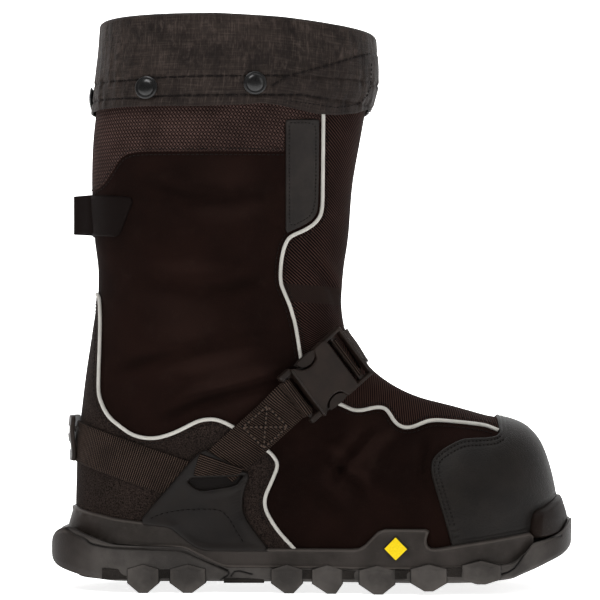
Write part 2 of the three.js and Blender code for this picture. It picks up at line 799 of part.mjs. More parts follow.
// Place and direction of the upper's outside at a side view point
function surfaceFrame(x, z, side) {
  for (const face of upperMesh.faces.filter((entry) => !entry.cap)) {
    const [a, b, c] = face.corners.map((index) => upperMesh.vertices[index]);
    const normal = b.clone().sub(a).cross(c.clone().sub(a)).normalize();
    if (normal.y * side > 0.05) {
      const area = (b.x - a.x) * (c.z - a.z) - (c.x - a.x) * (b.z - a.z);
      const v = ((x - a.x) * (c.z - a.z) - (c.x - a.x) * (z - a.z)) / area;
      const w = ((b.x - a.x) * (z - a.z) - (x - a.x) * (b.z - a.z)) / area;
      if (v >= 0 && w >= 0 && v + w <= 1) {
        const y = a.y + v * (b.y - a.y) + w * (c.y - a.y);
        return { point: new THREE.Vector3(x, y, z), normal };
      }
    }
  }
  throw new Error(`no surface at ${x}, ${z}`);
}

// Axes with Z along the surface normal and X as near as it can be to a side view direction
function laidOn(frame, direction, lift) {
  const up = frame.normal.clone();
  const along = direction.clone().addScaledVector(up, -direction.dot(up)).normalize();
  const across = up.clone().cross(along);
  const origin = frame.point.clone().addScaledVector(up, lift);
  return new THREE.Matrix4().makeBasis(along, across, up).setPosition(origin);
}

const strapDirection = new THREE.Vector3(Math.cos(strapLine.slope), 0, Math.sin(strapLine.slope));
// The buckle's back is hollowed to lie over the upper
const buckleMatrix = laidOn(surfaceFrame(footX(strapLine.x), strapLine.z * instepHeight, -1),
  strapDirection, buckleLift);
const laidBuckle = (half) => half.transform(buckleMatrix.elements).subtract(form(clearance));

function plate(points, depth, lift) {
  const shape = new THREE.Shape(points.map(([x, y]) => new THREE.Vector2(x, y)));
  const geometry = new THREE.ExtrudeGeometry(shape, { depth, bevelEnabled: false });
  geometry.translate(0, 0, lift);
  return solidOf(geometry);
}

const rectangle = (fromX, toX, halfY) => [[fromX, -halfY], [toX, -halfY], [toX, halfY], [fromX, halfY]];

// Side-release buckle, drawn flat with X along the strap, towards the instep. The shell holds the
// prong half in a pocket that the two side windows open into, and the strap threads two slots.
const pocket = { end: 6, half: 12.5 };
const window = { from: -9, to: 3, depth: 5.5, slant: 2 };
const shellCorner = 3;
const shellTaper = { length: 5, side: 1 };
const ladderSlots = { first: 9, pitch: 6, width: 3 };

function buckleShell() {
  const halfL = buckleLength / 2;
  const halfW = buckleWidth / 2;
  const edge = [
    [-halfL + shellTaper.length, halfW - shellTaper.side],
    [window.from, halfW],
    [window.from + window.slant, halfW - window.depth],
    [window.to - window.slant, halfW - window.depth],
    [window.to, halfW],
    [halfL - shellCorner, halfW],
    [halfL, halfW - shellCorner],
  ];
  const outline = [...edge.map(([x, y]) => [x, -y]), ...[...edge].reverse()];
  const middle = (buckleThickness - prongThickness) / 2;
  const room = plate(rectangle(-halfL, pocket.end, pocket.half), prongThickness + 2 * clearance,
    middle - clearance);
  let solid = plate(outline, buckleThickness, 0).subtract(room);
  for (const from of [ladderSlots.first, ladderSlots.first + ladderSlots.pitch]) {
    const slot = rectangle(from, from + ladderSlots.width, webbingWidth / 2);
    solid = solid.subtract(plate(slot, far, -far / 2));
  }
  return solid;
}

const prongFork = { from: -8, half: 5 };
const prongBar = { length: 4.5, inset: 1, sunk: 0.5 };

function buckleProngs() {
  const halfL = buckleLength / 2;
  const end = pocket.end - clearance;
  const tongue = rectangle(prongBar.length - halfL - clearance, end, pocket.half - clearance);
  const middle = (buckleThickness - prongThickness) / 2;
  const fork = plate(rectangle(prongFork.from, pocket.end, prongFork.half), far, -far / 2);
  const barOutline = rectangle(-halfL, prongBar.length - halfL, buckleWidth / 2 - prongBar.inset);
  const bar = plate(barOutline, buckleThickness - 2 * prongBar.sunk, prongBar.sunk);
  return plate(tongue, prongThickness, middle).subtract(fork).add(bar);
}

// Ladder slide on the heel strap, with two slots across it
const sliderPlace = 0.645;
const sliderSlots = { places: [-7, 3], height: 4, rail: 2 };
function makeSlider() {
  const from = overOverlay + webbingThickness + clearance;
  const middle = sliderPlace * instepHeight;
  const halfZ = sliderHeight / 2;
  const inFront = footX(heelRound.depth / 2);
  const behind = (lowZ, highZ, halfY) =>
    slab([[-far, lowZ], [inFront, lowZ], [inFront, highZ], [-far, highZ]], -halfY, halfY);
  let solid = layer(from, from + sliderThickness)
    .intersect(behind(middle - halfZ, middle + halfZ, sliderWidth / 2));
  for (const place of sliderSlots.places) {
    const low = middle + place;
    solid = solid.subtract(behind(low, low + sliderSlots.height, webbingWidth / 2 - sliderSlots.rail));
  }
  return solid;
}

// Fabric tab: two leaves on the shaft and a loop standing out behind it
const tabPlace = 0.625;
const tabLeaf = { low: 0.093, high: 0.127, drop: 2 };
const tabLoop = { root: 0.033, half: 16, neck: 5.5, neckReach: 10, sunk: 6 };
function makeTab() {
  const low = heightAt(tabPlace);
  const high = low + tabHeight;
  const leaves = [
    [-far, low], [footX(tabLeaf.low), low - tabLeaf.drop], [footX(tabLeaf.high), high], [-far, high],
  ];
  const flat = layer(clearance, clearance + tabThickness).intersect(slab(leaves));
  const backX = footX(tabLoop.root);
  const loop = (inset) => {
    const rootX = backX + tabLoop.sunk + inset;
    const neckX = backX - tabLoop.neckReach + inset;
    const root = tabLoop.half - inset;
    const neck = tabLoop.neck - inset / 2;
    return [[rootX, -root], [neckX, -neck], [backX - tabReach + inset, 0], [neckX, neck], [rootX, root]];
  };
  const ring = [...loop(0), ...loop(tabThickness).reverse()];
  const shape = new THREE.Shape(ring.map(([x, y]) => new THREE.Vector2(x, y)));
  const band = new THREE.ExtrudeGeometry(shape, { depth: tabHeight - 1, bevelEnabled: false });
  band.translate(0, 0, low);
  return flat.add(solidOf(band).subtract(form(clearance)));
}

// Snap: a domed cap, its foot flat and its crown along +Y. at is a share of the snap's radius and
// up a share of snapHeight.
const snapProfile = [
  { at: 0.00, up: 0.00 },
  { at: 0.80, up: 0.00 },
  { at: 0.80, up: 0.25 },
  { at: 1.00, up: 0.35 },
  { at: 1.00, up: 0.55 },
  { at: 0.86, up: 0.80 },
  { at: 0.50, up: 0.95 },
  { at: 0.00, up: 1.00 },
];
function snapDome() {
  const points = snapProfile.map((row) =>
    new THREE.Vector2((row.at * snapDiameter) / 2, row.up * snapHeight));
  return new THREE.LatheGeometry(points, snapSides);
}

const snapLift = clearance + cuffThickness - snapSunk;
const cuffRoom = () => form(2 * clearance + cuffThickness);

function makeSnap(place) {
  const frame = surfaceFrame(footX(place.x), heightAt(place.z), place.side);
  const dome = snapDome().rotateX(Math.PI / 2);
  dome.applyMatrix4(laidOn(frame, new THREE.Vector3(1, 0, 0), snapLift));
  return solidOf(dome).subtract(cuffRoom());
}

function makeBackSnap() {
  const row = sections.find((entry) => entry.backZ < backSnapPlace);
  const dome = snapDome().rotateZ(Math.PI / 2);
  dome.translate(footX(row.backX) - snapLift + snapSunk, 0, heightAt(backSnapPlace));
  return solidOf(dome).subtract(cuffRoom());
}

// Plain diamond on the shield
function makeBadge() {
  const x = footX(badgePlace.x);
  const z = badgePlace.z * soleHeight;
  const from = 2 * clearance + sidewallThickness;
  const diamond = [[x - badgeHalf, z], [x, z - badgeHalf], [x + badgeHalf, z], [x, z + badgeHalf]];
  return layer(from, from + badgeThickness).intersect(slab(diamond, -reachY, 0));
}

function meshOf(name, solid, look) {
  const result = solid.getMesh();
  const geometry = new THREE.BufferGeometry();
  geometry.setAttribute('position', new THREE.BufferAttribute(new Float32Array(result.vertProperties), 3));
  geometry.setIndex(new THREE.BufferAttribute(new Uint32Array(result.triVerts), 1));
  geometry.computeVertexNormals();
  const mesh = new THREE.Mesh(geometry, new THREE.MeshStandardMaterial(look));
  mesh.name = name;
  return mesh;
}

const cloth = { color: 0x1d1a18, roughness: 0.8, metalness: 0 };
const ripstop = { color: 0x2b2726, roughness: 0.6, metalness: 0 };
const rubber = { color: 0x2e2c2b, roughness: 0.6, metalness: 0 };
const capping = { color: 0x302e2d, roughness: 0.6, metalness: 0 };
const webbing = { color: 0x2f2b26, roughness: 0.8, metalness: 0 };
const plastic = { color: 0x26282a, roughness: 0.45, metalness: 0 };
const felt = { color: 0x35322f, roughness: 0.9, metalness: 0 };
const yellow = { color: 0xe8b21c, roughness: 0.5, metalness: 0 };

const overshoe = new THREE.Group();
overshoe.add(meshOf('upper', makeUpper(), cloth));
overshoe.add(meshOf('cuff', makeCuff(), ripstop));
overshoe.add(meshOf('insole', makeInsole(), felt));
overshoe.add(meshOf('outsole', makeOutsole(), rubber));
overshoe.add(meshOf('sidewall', makeSidewall(), rubber));
overshoe.add(meshOf('toe_bumper', makeToeBumper(), rubber));
overshoe.add(meshOf('toe_cap', overlay(toeCapOutline), capping));
overshoe.add(meshOf('heel_counter', overlay(heelCounterOutline), capping));
overshoe.add(meshOf('anchor_outer', makeAnchor(-reachY, 0), plastic));
overshoe.add(meshOf('anchor_inner', makeAnchor(0, reachY), plastic));
overshoe.add(meshOf('heel_strap', makeHeelStrap(), webbing));
overshoe.add(meshOf('front_strap', makeFrontStrap(), webbing));
overshoe.add(meshOf('instep_strap', makeInstepStrap(), webbing));
overshoe.add(meshOf('buckle_shell', laidBuckle(buckleShell()), plastic));
overshoe.add(meshOf('buckle_prongs', laidBuckle(buckleProngs()), plastic));
overshoe.add(meshOf('heel_slider', makeSlider(), plastic));
overshoe.add(meshOf('rear_tab', makeTab(), cloth));
for (const place of snapPlaces) {
  overshoe.add(meshOf(place.name, makeSnap(place), plastic));
}
overshoe.add(meshOf('snap_back', makeBackSnap(), plastic));
overshoe.add(meshOf('badge', makeBadge(), yellow));

export default overshoe;
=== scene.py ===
import math
import bmesh
import bpy
import numpy as np
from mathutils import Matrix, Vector
from mathutils.bvhtree import BVHTree


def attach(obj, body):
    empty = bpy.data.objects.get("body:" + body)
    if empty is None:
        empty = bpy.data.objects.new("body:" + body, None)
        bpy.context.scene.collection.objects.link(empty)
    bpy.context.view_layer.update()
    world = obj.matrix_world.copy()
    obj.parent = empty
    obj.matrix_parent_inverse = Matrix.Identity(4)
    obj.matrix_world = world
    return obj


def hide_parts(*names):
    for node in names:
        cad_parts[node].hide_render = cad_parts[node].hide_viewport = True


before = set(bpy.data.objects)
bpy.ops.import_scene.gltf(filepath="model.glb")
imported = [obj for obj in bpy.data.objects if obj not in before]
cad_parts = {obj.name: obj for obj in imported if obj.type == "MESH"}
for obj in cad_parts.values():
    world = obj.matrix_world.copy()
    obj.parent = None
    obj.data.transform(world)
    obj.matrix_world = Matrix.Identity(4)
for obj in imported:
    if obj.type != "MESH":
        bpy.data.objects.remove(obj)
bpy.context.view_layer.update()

# Sizes of the shoe, in millimetres as all lengths below: the toe points to +X, the outer side
# of the foot is at -Y, and the lugs stand at z = 0. Meshes turn into metres when they are made.
foot_length, ball_width, shaft_width = 312.0, 114.0, 121.0
instep_height, collar_height = 150.0, 366.0
heel_ledge, toe_ledge = 17.0, 11.0
sole_length = heel_ledge + foot_length + toe_ledge
sole_height = 30.0
sole_grow = 5.5
heel_x = heel_ledge - sole_length / 2
instep_share = 0.41
wall = 2.0
clearance = 0.3
over_overlay = 1.7
web_width, web_thick = 25.4, 1.5

# The upper's sections, from the collar down the leg and then along the foot to the toe. X is a
# share of the foot's length from the heel. Z is on the height scale, where instep_share is at
# instep_height and 1 at collar_height. Widest is where along the chord the section is widest.
# Bow and crown are the roundness below and above that, ridge is how far the top line lies
# inwards, and flat is 1 where the section starts on the underside.
section_names = "back_x back_z front_x front_z widest bow crown ridge flat".split()
sections = np.array([
    [0.056, 1.027, 0.610, 1.027, 0.50, 2.3, 2.30, 0.000, 0],
    [0.054, 0.956, 0.616, 0.956, 0.50, 2.3, 2.30, 0.000, 0],
    [0.046, 0.888, 0.612, 0.888, 0.50, 2.3, 2.30, 0.000, 0],
    [0.038, 0.833, 0.599, 0.836, 0.50, 2.3, 2.30, 0.000, 0],
    [0.030, 0.716, 0.575, 0.716, 0.50, 2.3, 2.20, 0.000, 0],
    [0.036, 0.628, 0.564, 0.628, 0.50, 2.3, 2.20, 0.000, 0],
    [0.044, 0.560, 0.554, 0.566, 0.50, 2.3, 2.10, 0.000, 0],
    [0.042, 0.505, 0.551, 0.516, 0.49, 2.2, 2.10, 0.000, 0],
    [0.033, 0.451, 0.558, 0.464, 0.48, 2.2, 2.00, 0.000, 0],
    [0.023, 0.388, 0.583, 0.429, 0.45, 2.2, 2.00, 0.000, 0],
    [0.013, 0.309, 0.612, 0.391, 0.42, 2.2, 2.00, 0.002, 0],
    [0.003, 0.224, 0.641, 0.370, 0.38, 2.2, 2.00, 0.005, 0],
    [0.000, 0.137, 0.670, 0.355, 0.36, 2.2, 2.00, 0.009, 0],
    [0.006, 0.022, 0.699, 0.344, 0.34, 2.2, 2.00, 0.014, 1],
    [0.112, 0.022, 0.724, 0.337, 0.33, 2.2, 2.00, 0.019, 1],
    [0.260, 0.022, 0.753, 0.331, 0.32, 2.2, 2.00, 0.025, 1],
    [0.426, 0.022, 0.785, 0.324, 0.32, 2.2, 2.00, 0.032, 1],
    [0.603, 0.022, 0.824, 0.314, 0.33, 2.2, 2.05, 0.042, 1],
    [0.740, 0.022, 0.859, 0.305, 0.33, 2.2, 2.10, 0.052, 1],
    [0.837, 0.027, 0.894, 0.299, 0.34, 2.2, 2.20, 0.060, 1],
    [0.907, 0.038, 0.930, 0.288, 0.36, 2.2, 2.30, 0.065, 1],
    [0.958, 0.052, 0.962, 0.262, 0.40, 2.2, 2.40, 0.069, 1],
    [0.987, 0.063, 0.985, 0.214, 0.45, 2.2, 2.40, 0.070, 1],
    [1.000, 0.071, 1.000, 0.160, 0.50, 2.2, 2.40, 0.070, 1],
])
# Half widths of the foot as shares of ball_width: place along it, outer side, inner side
plan = np.array([
    [0.00, 0.360, 0.360], [0.17, 0.370, 0.370], [0.30, 0.364, 0.350], [0.43, 0.382, 0.325],
    [0.55, 0.420, 0.342], [0.65, 0.469, 0.395], [0.73, 0.495, 0.447], [0.81, 0.482, 0.487],
    [0.89, 0.440, 0.500], [1.00, 0.351, 0.491],
])
# Half width of the leg as a share of shaft_width, by the height scale
leg = np.array([
    [0.30, 0.400], [0.38, 0.410], [0.46, 0.430], [0.54, 0.450],
    [0.61, 0.465], [0.70, 0.480], [0.84, 0.497], [1.03, 0.500],
])
# Heights along the sole as shares of sole_height: place along it, rim, underside, seat
sole_lines = np.array([
    [0.000, 0.88, 0.77, 0.60], [0.005, 1.10, 0.63, 0.60], [0.018, 1.27, 0.51, 0.60],
    [0.041, 1.33, 0.42, 0.60], [0.074, 1.20, 0.33, 0.60], [0.138, 1.00, 0.25, 0.60],
    [0.256, 0.95, 0.24, 0.60], [0.294, 0.77, 0.24, 0.57], [0.344, 0.56, 0.24, 0.50],
    [0.500, 0.55, 0.24, 0.48], [0.676, 0.55, 0.24, 0.48], [0.794, 0.57, 0.25, 0.51],
    [0.868, 0.63, 0.31, 0.58], [0.897, 0.83, 0.42, 0.67], [0.915, 1.03, 0.49, 0.75],
    [0.947, 1.12, 0.63, 0.86], [0.970, 1.23, 0.73, 0.94], [0.985, 1.37, 0.83, 1.00],
    [0.997, 1.48, 0.98, 1.05], [1.000, 1.40, 1.20, 1.08],
])
heel_round = (0.176, 2.2)
toe_round = (0.22, 2.3)
foot_swell = 1.04
ankle_blend = (0.16, 0.38)


def curve_of(x, y):
    """A smooth curve through the points that doesn't overshoot them."""
    x, y = np.asarray(x, float), np.asarray(y, float)
    h = np.diff(x)
    slope = np.diff(y) / h
    tangent = np.concatenate([slope[:1], np.zeros(len(x) - 2), slope[-1:]])
    same = slope[:-1] * slope[1:] > 0
    total = np.where(same, slope[:-1] + slope[1:], 1)
    tangent[1:-1] = np.where(same, 2 * slope[:-1] * slope[1:] / total, 0)

    def at(value):
        v = np.clip(value, x[0], x[-1])
        i = np.clip(np.searchsorted(x, v, side="right") - 1, 0, len(h) - 1)
        t = (v - x[i]) / h[i]
        t2, t3 = t * t, t * t * t
        return ((2 * t3 - 3 * t2 + 1) * y[i] + (t3 - 2 * t2 + t) * h[i] * tangent[i]
                + (3 * t2 - 2 * t3) * y[i + 1] + (t3 - t2) * h[i] * tangent[i + 1])
    return at


column = {n: curve_of(np.arange(len(sections)), sections[:, k]) for k, n in enumerate(section_names)}
plan_outer = curve_of(plan[:, 0], plan[:, 1])
plan_inner = curve_of(plan[:, 0], plan[:, 2])
leg_half = curve_of(leg[:, 0], leg[:, 1])
sole_rim = curve_of(sole_lines[:, 0], sole_lines[:, 1])
sole_under = curve_of(sole_lines[:, 0], sole_lines[:, 2])
sole_seat = curve_of(sole_lines[:, 0], sole_lines[:, 3])


def height_at(share):
    low = share / instep_share * instep_height
    high = instep_height + (share - instep_share) / (1 - instep_share) * (collar_height - instep_height)
    return np.where(share < instep_share, low, high)


def share_at(height):
    low = height / instep_height * instep_share
    high = instep_share + (height - instep_height) / (collar_height - instep_height) * (1 - instep_share)
    return np.where(height < instep_height, low, high)


def end_factor(share):
    """How far the foot's outline is open at a place along it: 0 at both ends, 1 between."""
    heel = np.maximum(1 - share / heel_round[0], 0)
    toe = np.maximum(1 - (1 - share) / toe_round[0], 0)
    return np.minimum(np.maximum(1 - heel ** heel_round[1], 0) ** (1 / heel_round[1]),
                      np.maximum(1 - toe ** toe_round[1], 0) ** (1 / toe_round[1]))


def plan_at(share):
    """Centre line, half width and end factor at a place along the foot."""
    share = np.clip(share, 0, 1)
    outer, inner = plan_outer(share) * ball_width, plan_inner(share) * ball_width
    return (inner - outer) / 2, (inner + outer) / 2, end_factor(share)


def widest_y(x, z, side):
    centre, half, end = plan_at((x - heel_x) / foot_length)
    foot = centre + side * half * end * foot_swell
    shaft = side * leg_half(share_at(z)) * shaft_width
    t = np.clip((share_at(z) - ankle_blend[0]) / (ankle_blend[1] - ankle_blend[0]), 0, 1)
    return foot + (shaft - foot) * t * t * (3 - 2 * t)


def skin(s, t):
    """Points of the upper's outside: s counts sections, t runs 0 back, 1 outer, 2 front, 3 inner."""
    s, t = np.broadcast_arrays(np.asarray(s, float), np.asarray(t, float))
    side = np.where(t <= 2, -1.0, 1.0)
    w = np.where(t <= 2, t - 1, 3 - t)
    r = {n: c(s) for n, c in column.items()}
    back = np.stack([heel_x + r["back_x"] * foot_length, height_at(r["back_z"])])
    front = np.stack([heel_x + r["front_x"] * foot_length, height_at(r["front_z"])])
    wide = back + (front - back) * r["widest"]
    wide_y = widest_y(wide[0], wide[1], side)
    centre, half, end = plan_at(r["back_x"])
    under_centre = centre * r["flat"]
    under_y = under_centre + side * half * end * r["flat"]
    ridge_y = r["ridge"] * ball_width
    span = wide_y - under_centre
    safe = np.where(np.abs(span) > 1e-6, span, 1)
    ratio = np.where(np.abs(span) > 1e-6, (under_y - under_centre) / safe, 0)
    bow, crown = r["bow"], r["crown"]
    reach = np.maximum(1 - np.clip(ratio, 0, 1) ** bow, 0) ** (1 / bow)
    last = np.arcsin(np.minimum(reach ** (bow / 2), 1))
    step = np.clip(-w, 0, 1)
    sin_last = np.where(last > 1e-4, np.sin(last), 1)
    along = np.where(last > 1e-4, (np.sin(last * step) / sin_last) ** (2 / bow), step ** (2 / bow))
    round_y = under_centre + span * np.maximum(np.cos(last * step), 0) ** (2 / bow)
    splay_y = wide_y + (under_y - wide_y) * along * along
    low_y = np.where(ratio > 1, splay_y, round_y)
    low_y = np.where(step >= 1, under_y, low_y)
    angle = np.pi / 2 * np.clip(w, 0, 1)
    share = r["widest"] + (1 - r["widest"]) * np.sin(angle) ** (2 / crown)
    out = np.where(w >= 1, 0, np.maximum(np.cos(angle), 0) ** (2 / crown))
    high_y = ridge_y + (wide_y - ridge_y) * out
    share = np.where(w < 0, r["widest"] * (1 - along), share)
    y = np.where(w < 0, low_y, high_y)
    spot = back + (front - back) * share
    return np.stack([spot[0], y, spot[1]], -1)


def smoothstep(low, high, value):
    t = np.clip((value - low) / (high - low), 0, 1)
    return t * t * (3 - 2 * t)


def unit(v):
    return v / np.maximum(np.linalg.norm(v, axis=-1, keepdims=True), 1e-9)


# Outlines in the side view, x and z in millimetres
pipe_front = [
    (6.7, 311), (6.7, 302.7), (6.5, 280.9), (6.3, 262.1), (6.1, 246.9), (5.4, 241.8), (4.3, 238.6),
    (1.7, 235.0), (-1.8, 232.0), (-6.5, 229.3), (-11.5, 227.1), (-13.8, 225.7), (-15.5, 224.1),
    (-17.2, 220.9), (-18.5, 217.1), (-19.8, 210.8), (-20.4, 201.4), (-20.2, 197.9), (-19.7, 194.8),
    (-18.1, 191.0), (-16.3, 186.6), (-14.4, 182.1), (-12.9, 177.0), (-11.3, 171.1), (-10.1, 164.8),
    (-8.7, 156.2), (-7.3, 147.6), (-6.5, 140.0),
]
pipe_toe = [
    (11.3, 121.4), (17.3, 119.7), (24.5, 116.0), (28.1, 115.3), (31.7, 115.3), (35.8, 116.1),
    (40.4, 117.0), (43.7, 117.0), (46.3, 116.3), (48.5, 114.5), (50.4, 111.6), (52.3, 108.4),
    (54.6, 105.9), (57.3, 104.4), (60.3, 103.8), (63.8, 104.1), (67.5, 105.3), (71.2, 106.8),
    (74.9, 108.0), (78.4, 108.4), (82.0, 108.4), (88.6, 107.8), (96.3, 107.1), (103.3, 106.3),
    (110.8, 105.2), (114.7, 103.9), (119.5, 102.0),
]
pipe_heel = [
    (-141.1, 194.8), (-140.1, 191.5), (-137.2, 188.7), (-136.5, 186.4), (-136.0, 178.0),
    (-135.7, 169.5), (-136.0, 154.7), (-136.4, 139.9), (-136.5, 133.5), (-136.4, 127.8),
    (-135.9, 124.2), (-134.6, 120.7), (-132.8, 116.6), (-130.2, 112.5), (-127.4, 109.4),
    (-123.9, 106.8), (-119.8, 103.7), (-115.5, 100.8), (-110.6, 98.9), (-105.9, 98.1),
    (-101.6, 97.9), (-97.5, 98.3), (-92.7, 99.6), (-87.6, 101.4), (-81.2, 104.5), (-76.1, 107.2),
    (-71.7, 109.2), (-67.0, 110.2), (-61.6, 110.2), (-56.9, 108.7), (-51.8, 106.1),
    (-45.8, 102.2), (-38.3, 96.8), (-29.2, 90.4), (-26.6, 88.3), (-24.7, 85.9), (-23.1, 83.6),
    (-22.4, 81.3), (-22.7, 78.5), (-23.6, 75.7), (-25.4, 71.3), (-27.5, 66.6), (-28.8, 63.6),
    (-29.8, 60.6), (-30.2, 58.1), (-30.1, 55.3), (-29.6, 52.8), (-28.6, 50.3), (-25.6, 44.9),
    (-21.3, 38.8), (-16.6, 33.6), (-12.2, 29.0), (-7.8, 24.2),
]
heel_counter = [(-175.0, 192.0)] + pipe_heel[1:] + [(-7.8, 8.0), (-175.0, 8.0)]
toe_cap_edge = [
    (121.6, 140.0), (119.9, 101.7), (119.3, 100.0), (118.1, 99.0), (115.6, 98.1), (111.4, 97.6),
    (103.8, 97.4), (96.9, 97.0), (92.6, 95.6), (88.3, 93.5), (83.6, 90.9), (79.5, 87.9),
    (77.0, 85.3), (75.4, 82.3), (75.1, 78.0), (75.6, 73.7), (77.1, 67.9), (78.8, 62.0),
    (80.8, 54.8), (82.9, 47.9), (85.1, 40.0), (87.2, 32.0), (90.4, 15.5),
]
toe_cap = toe_cap_edge + [(199.8, 8.0), (199.8, 140.0)]
anchor = [
    (-108.4, 46.7), (-102.7, 53.7), (-96.7, 61.0), (-87.4, 72.2), (-77.8, 83.7), (-73.7, 87.5),
    (-69.4, 90.5), (-67.7, 91.2), (-65.5, 90.3), (-43.4, 77.4), (-41.1, 76.3), (-40.0, 74.5),
    (-41.0, 70.7), (-42.3, 66.6), (-43.3, 62.5), (-44.0, 58.1), (-43.9, 55.0), (-43.4, 51.9),
    (-42.5, 49.0), (-41.1, 46.1), (-36.3, 39.2), (-31.9, 33.7), (-28.4, 29.4), (-23.6, 20.9),
    (-24.2, 8.0), (-108.4, 8.0),
]
anchor_slot = [
    (-80.2, 71.8), (-76.9, 72.9), (-46.8, 73.4), (-45.4, 75.2), (-45.0, 73.3), (-47.9, 68.4),
    (-71.7, 64.5),
]
anchor_arch = [
    (-102.5, 46.8), (-96.7, 49.6), (-90.6, 51.3), (-81.4, 52.7), (-71.9, 53.0), (-65.5, 53.1),
    (-60.1, 52.7), (-56.8, 51.5), (-54.2, 49.2), (-51.1, 44.8), (-48.4, 39.7), (-45.3, 35.1),
    (-42.5, 30.5),
]
panel_seam = [
    (-17.5, 279.0), (-45.4, 278.6), (-76.8, 278.7), (-104.4, 279.2), (-111.4, 279.1),
    (-115.5, 278.5), (-118.7, 277.4), (-121.4, 275.4), (-123.7, 272.8), (-125.9, 269.8),
    (-128.2, 266.3), (-130.4, 263.3), (-132.9, 260.5), (-136.8, 258.0), (-142.6, 256.0),
]
shaft_patch = [
    (-16.8, 299.2), (4.3, 300.1), (4.2, 280.7), (3.9, 261.9), (3.5, 247.4), (3.0, 243.0),
    (1.7, 239.5), (-0.5, 236.6), (-3.6, 234.3), (-8.0, 231.7), (-12.8, 229.5), (-16.4, 227.5),
    (-16.9, 229.7),
]
rear_leaf = [
    (-175.0, 255.0), (-152.4, 255.1), (-112.4, 250.5), (-122.8, 225.9), (-140.3, 227.8),
    (-175.0, 229.0),
]
rand_line = [
    (-175.0, 54.6), (-155.3, 54.2), (-153.0, 53.8), (-145.5, 51.4), (-133.0, 48.9),
    (-123.5, 46.9), (-108.9, 45.2), (-99.9, 44.3), (-90.0, 43.3), (-86.3, 41.2), (-81.1, 36.3),
    (-75.9, 32.1), (-71.9, 29.7), (-67.4, 28.3),
]
rand_shield = [
    (30.7, 28.6), (36.4, 34.4), (43.1, 41.1), (58.3, 41.3), (74.4, 41.4), (72.1, 35.8),
    (72.1, 32.0), (74.2, 29.2),
]
rand_plain = [(30.7, 28.6), (74.2, 29.2)]
rand_toe = [
    (80.3, 29.7), (85.7, 30.7), (101.1, 33.1), (112.1, 34.6), (123.1, 36.2), (139.5, 38.4),
    (139.5, 0.0), (-175.0, 0.0),
]
bumper = [
    (137.5, 37.3), (139.2, 50.9), (146.0, 53.1), (159.5, 60.3), (172.1, 59.4), (176.5, 48.6),
    (175.9, 44.2), (156.7, 35.5), (139.3, 33.3),
]
badge_spot = (53.0, 29.1)
badge_half = 7.8
hem = [
    (-175.0, 307.7), (-126.6, 307.9), (-108.2, 307.7), (-70.4, 306.9), (-40.9, 307.9),
    (-32.2, 308.9), (-22.5, 307.8), (-10.2, 305.3), (1.7, 303.0), (13.2, 303.0), (24.5, 305.4),
    (35.8, 311.4), (60.0, 317.0),
]
collar = [(-140.5, 363.4), (-59.4, 362.7), (-18.8, 360.5), (12.4, 357.6), (40.4, 355.4)]
cuff_diagonal = [(-25.9, 319.3), (-14.6, 326.0), (9.7, 333.6), (38.0, 344.8), (60.0, 352.0)]
cuff_seams = [
    [(-134, 325.4), (-112.5, 324.4), (-98.5, 325.3), (-42.8, 325.7), (-14.6, 326.1), (40, 326.4)],
    [(-134, 314.2), (-108, 312.6), (-97, 313.5), (-45, 313.9), (-6, 314.2), (6.2, 313.0), (40, 312.0)],
]
cuff_flap_seam = [
    (-17.1, 310.2), (-12.7, 309.9), (5.5, 308.2), (14.4, 307.4), (22.8, 308.9), (30.0, 311.6),
    (34.8, 316.9), (37.4, 323.1), (37.9, 340.0),
]
cuff_diagonal_seam = [
    (-25.9, 319.3), (-20.3, 322.7), (-14.6, 326.0), (-3.9, 329.0), (9.7, 333.6), (21.9, 337.8),
    (38.0, 344.8),
]
patch_seam = [
    (-14.7, 297.0), (2.0, 297.7), (1.9, 262.0), (1.3, 247.0), (-0.4, 241.2), (-3.6, 237.4),
    (-8.8, 234.6), (-14.7, 231.6), (-14.7, 297.0),
]
heel_groove = [
    (-158.8, 40.8), (-152.7, 36.9), (-143.9, 33.7), (-141.7, 30.9), (-133.9, 29.3),
    (-124.7, 28.3), (-103.1, 27.7), (-83.7, 27.2), (-77.2, 24.7), (-70.7, 21.7), (-63.0, 18.3),
    (-53.9, 14.3),
]


def rounded(outline, turns=2, closed=True, reach=2.5):
    """The outline with its corners cut, each time by a quarter of the edge and at most by reach."""
    points = np.array(outline, float)
    for _ in range(turns):
        after = np.roll(points, -1, 0)
        cut = np.minimum(0.25, reach / np.maximum(np.linalg.norm(after - points, axis=1), 1e-9))[:, None]
        pairs = np.stack([points + (after - points) * cut, after + (points - after) * cut], 1)
        if closed:
            points = pairs.reshape(-1, 2)
        else:
            points = np.concatenate([points[:1], pairs[:-1].reshape(-1, 2), points[-1:]])
    return points


def nearest_on(points, start, end):
    """For each point the distance to the nearest segment, the way from it, which one it is and
    the share along it."""
    edge = end - start
    length2 = np.maximum((edge ** 2).sum(1), 1e-9)
    rel = points[:, None, :] - start[None]
    share = np.clip((rel * edge[None]).sum(2) / length2[None], 0, 1)
    away = rel - share[..., None] * edge[None]
    d2 = (away ** 2).sum(2)
    best = d2.argmin(1)
    row = np.arange(len(points))
    return np.sqrt(d2[row, best]), away[row, best], best, share[row, best]


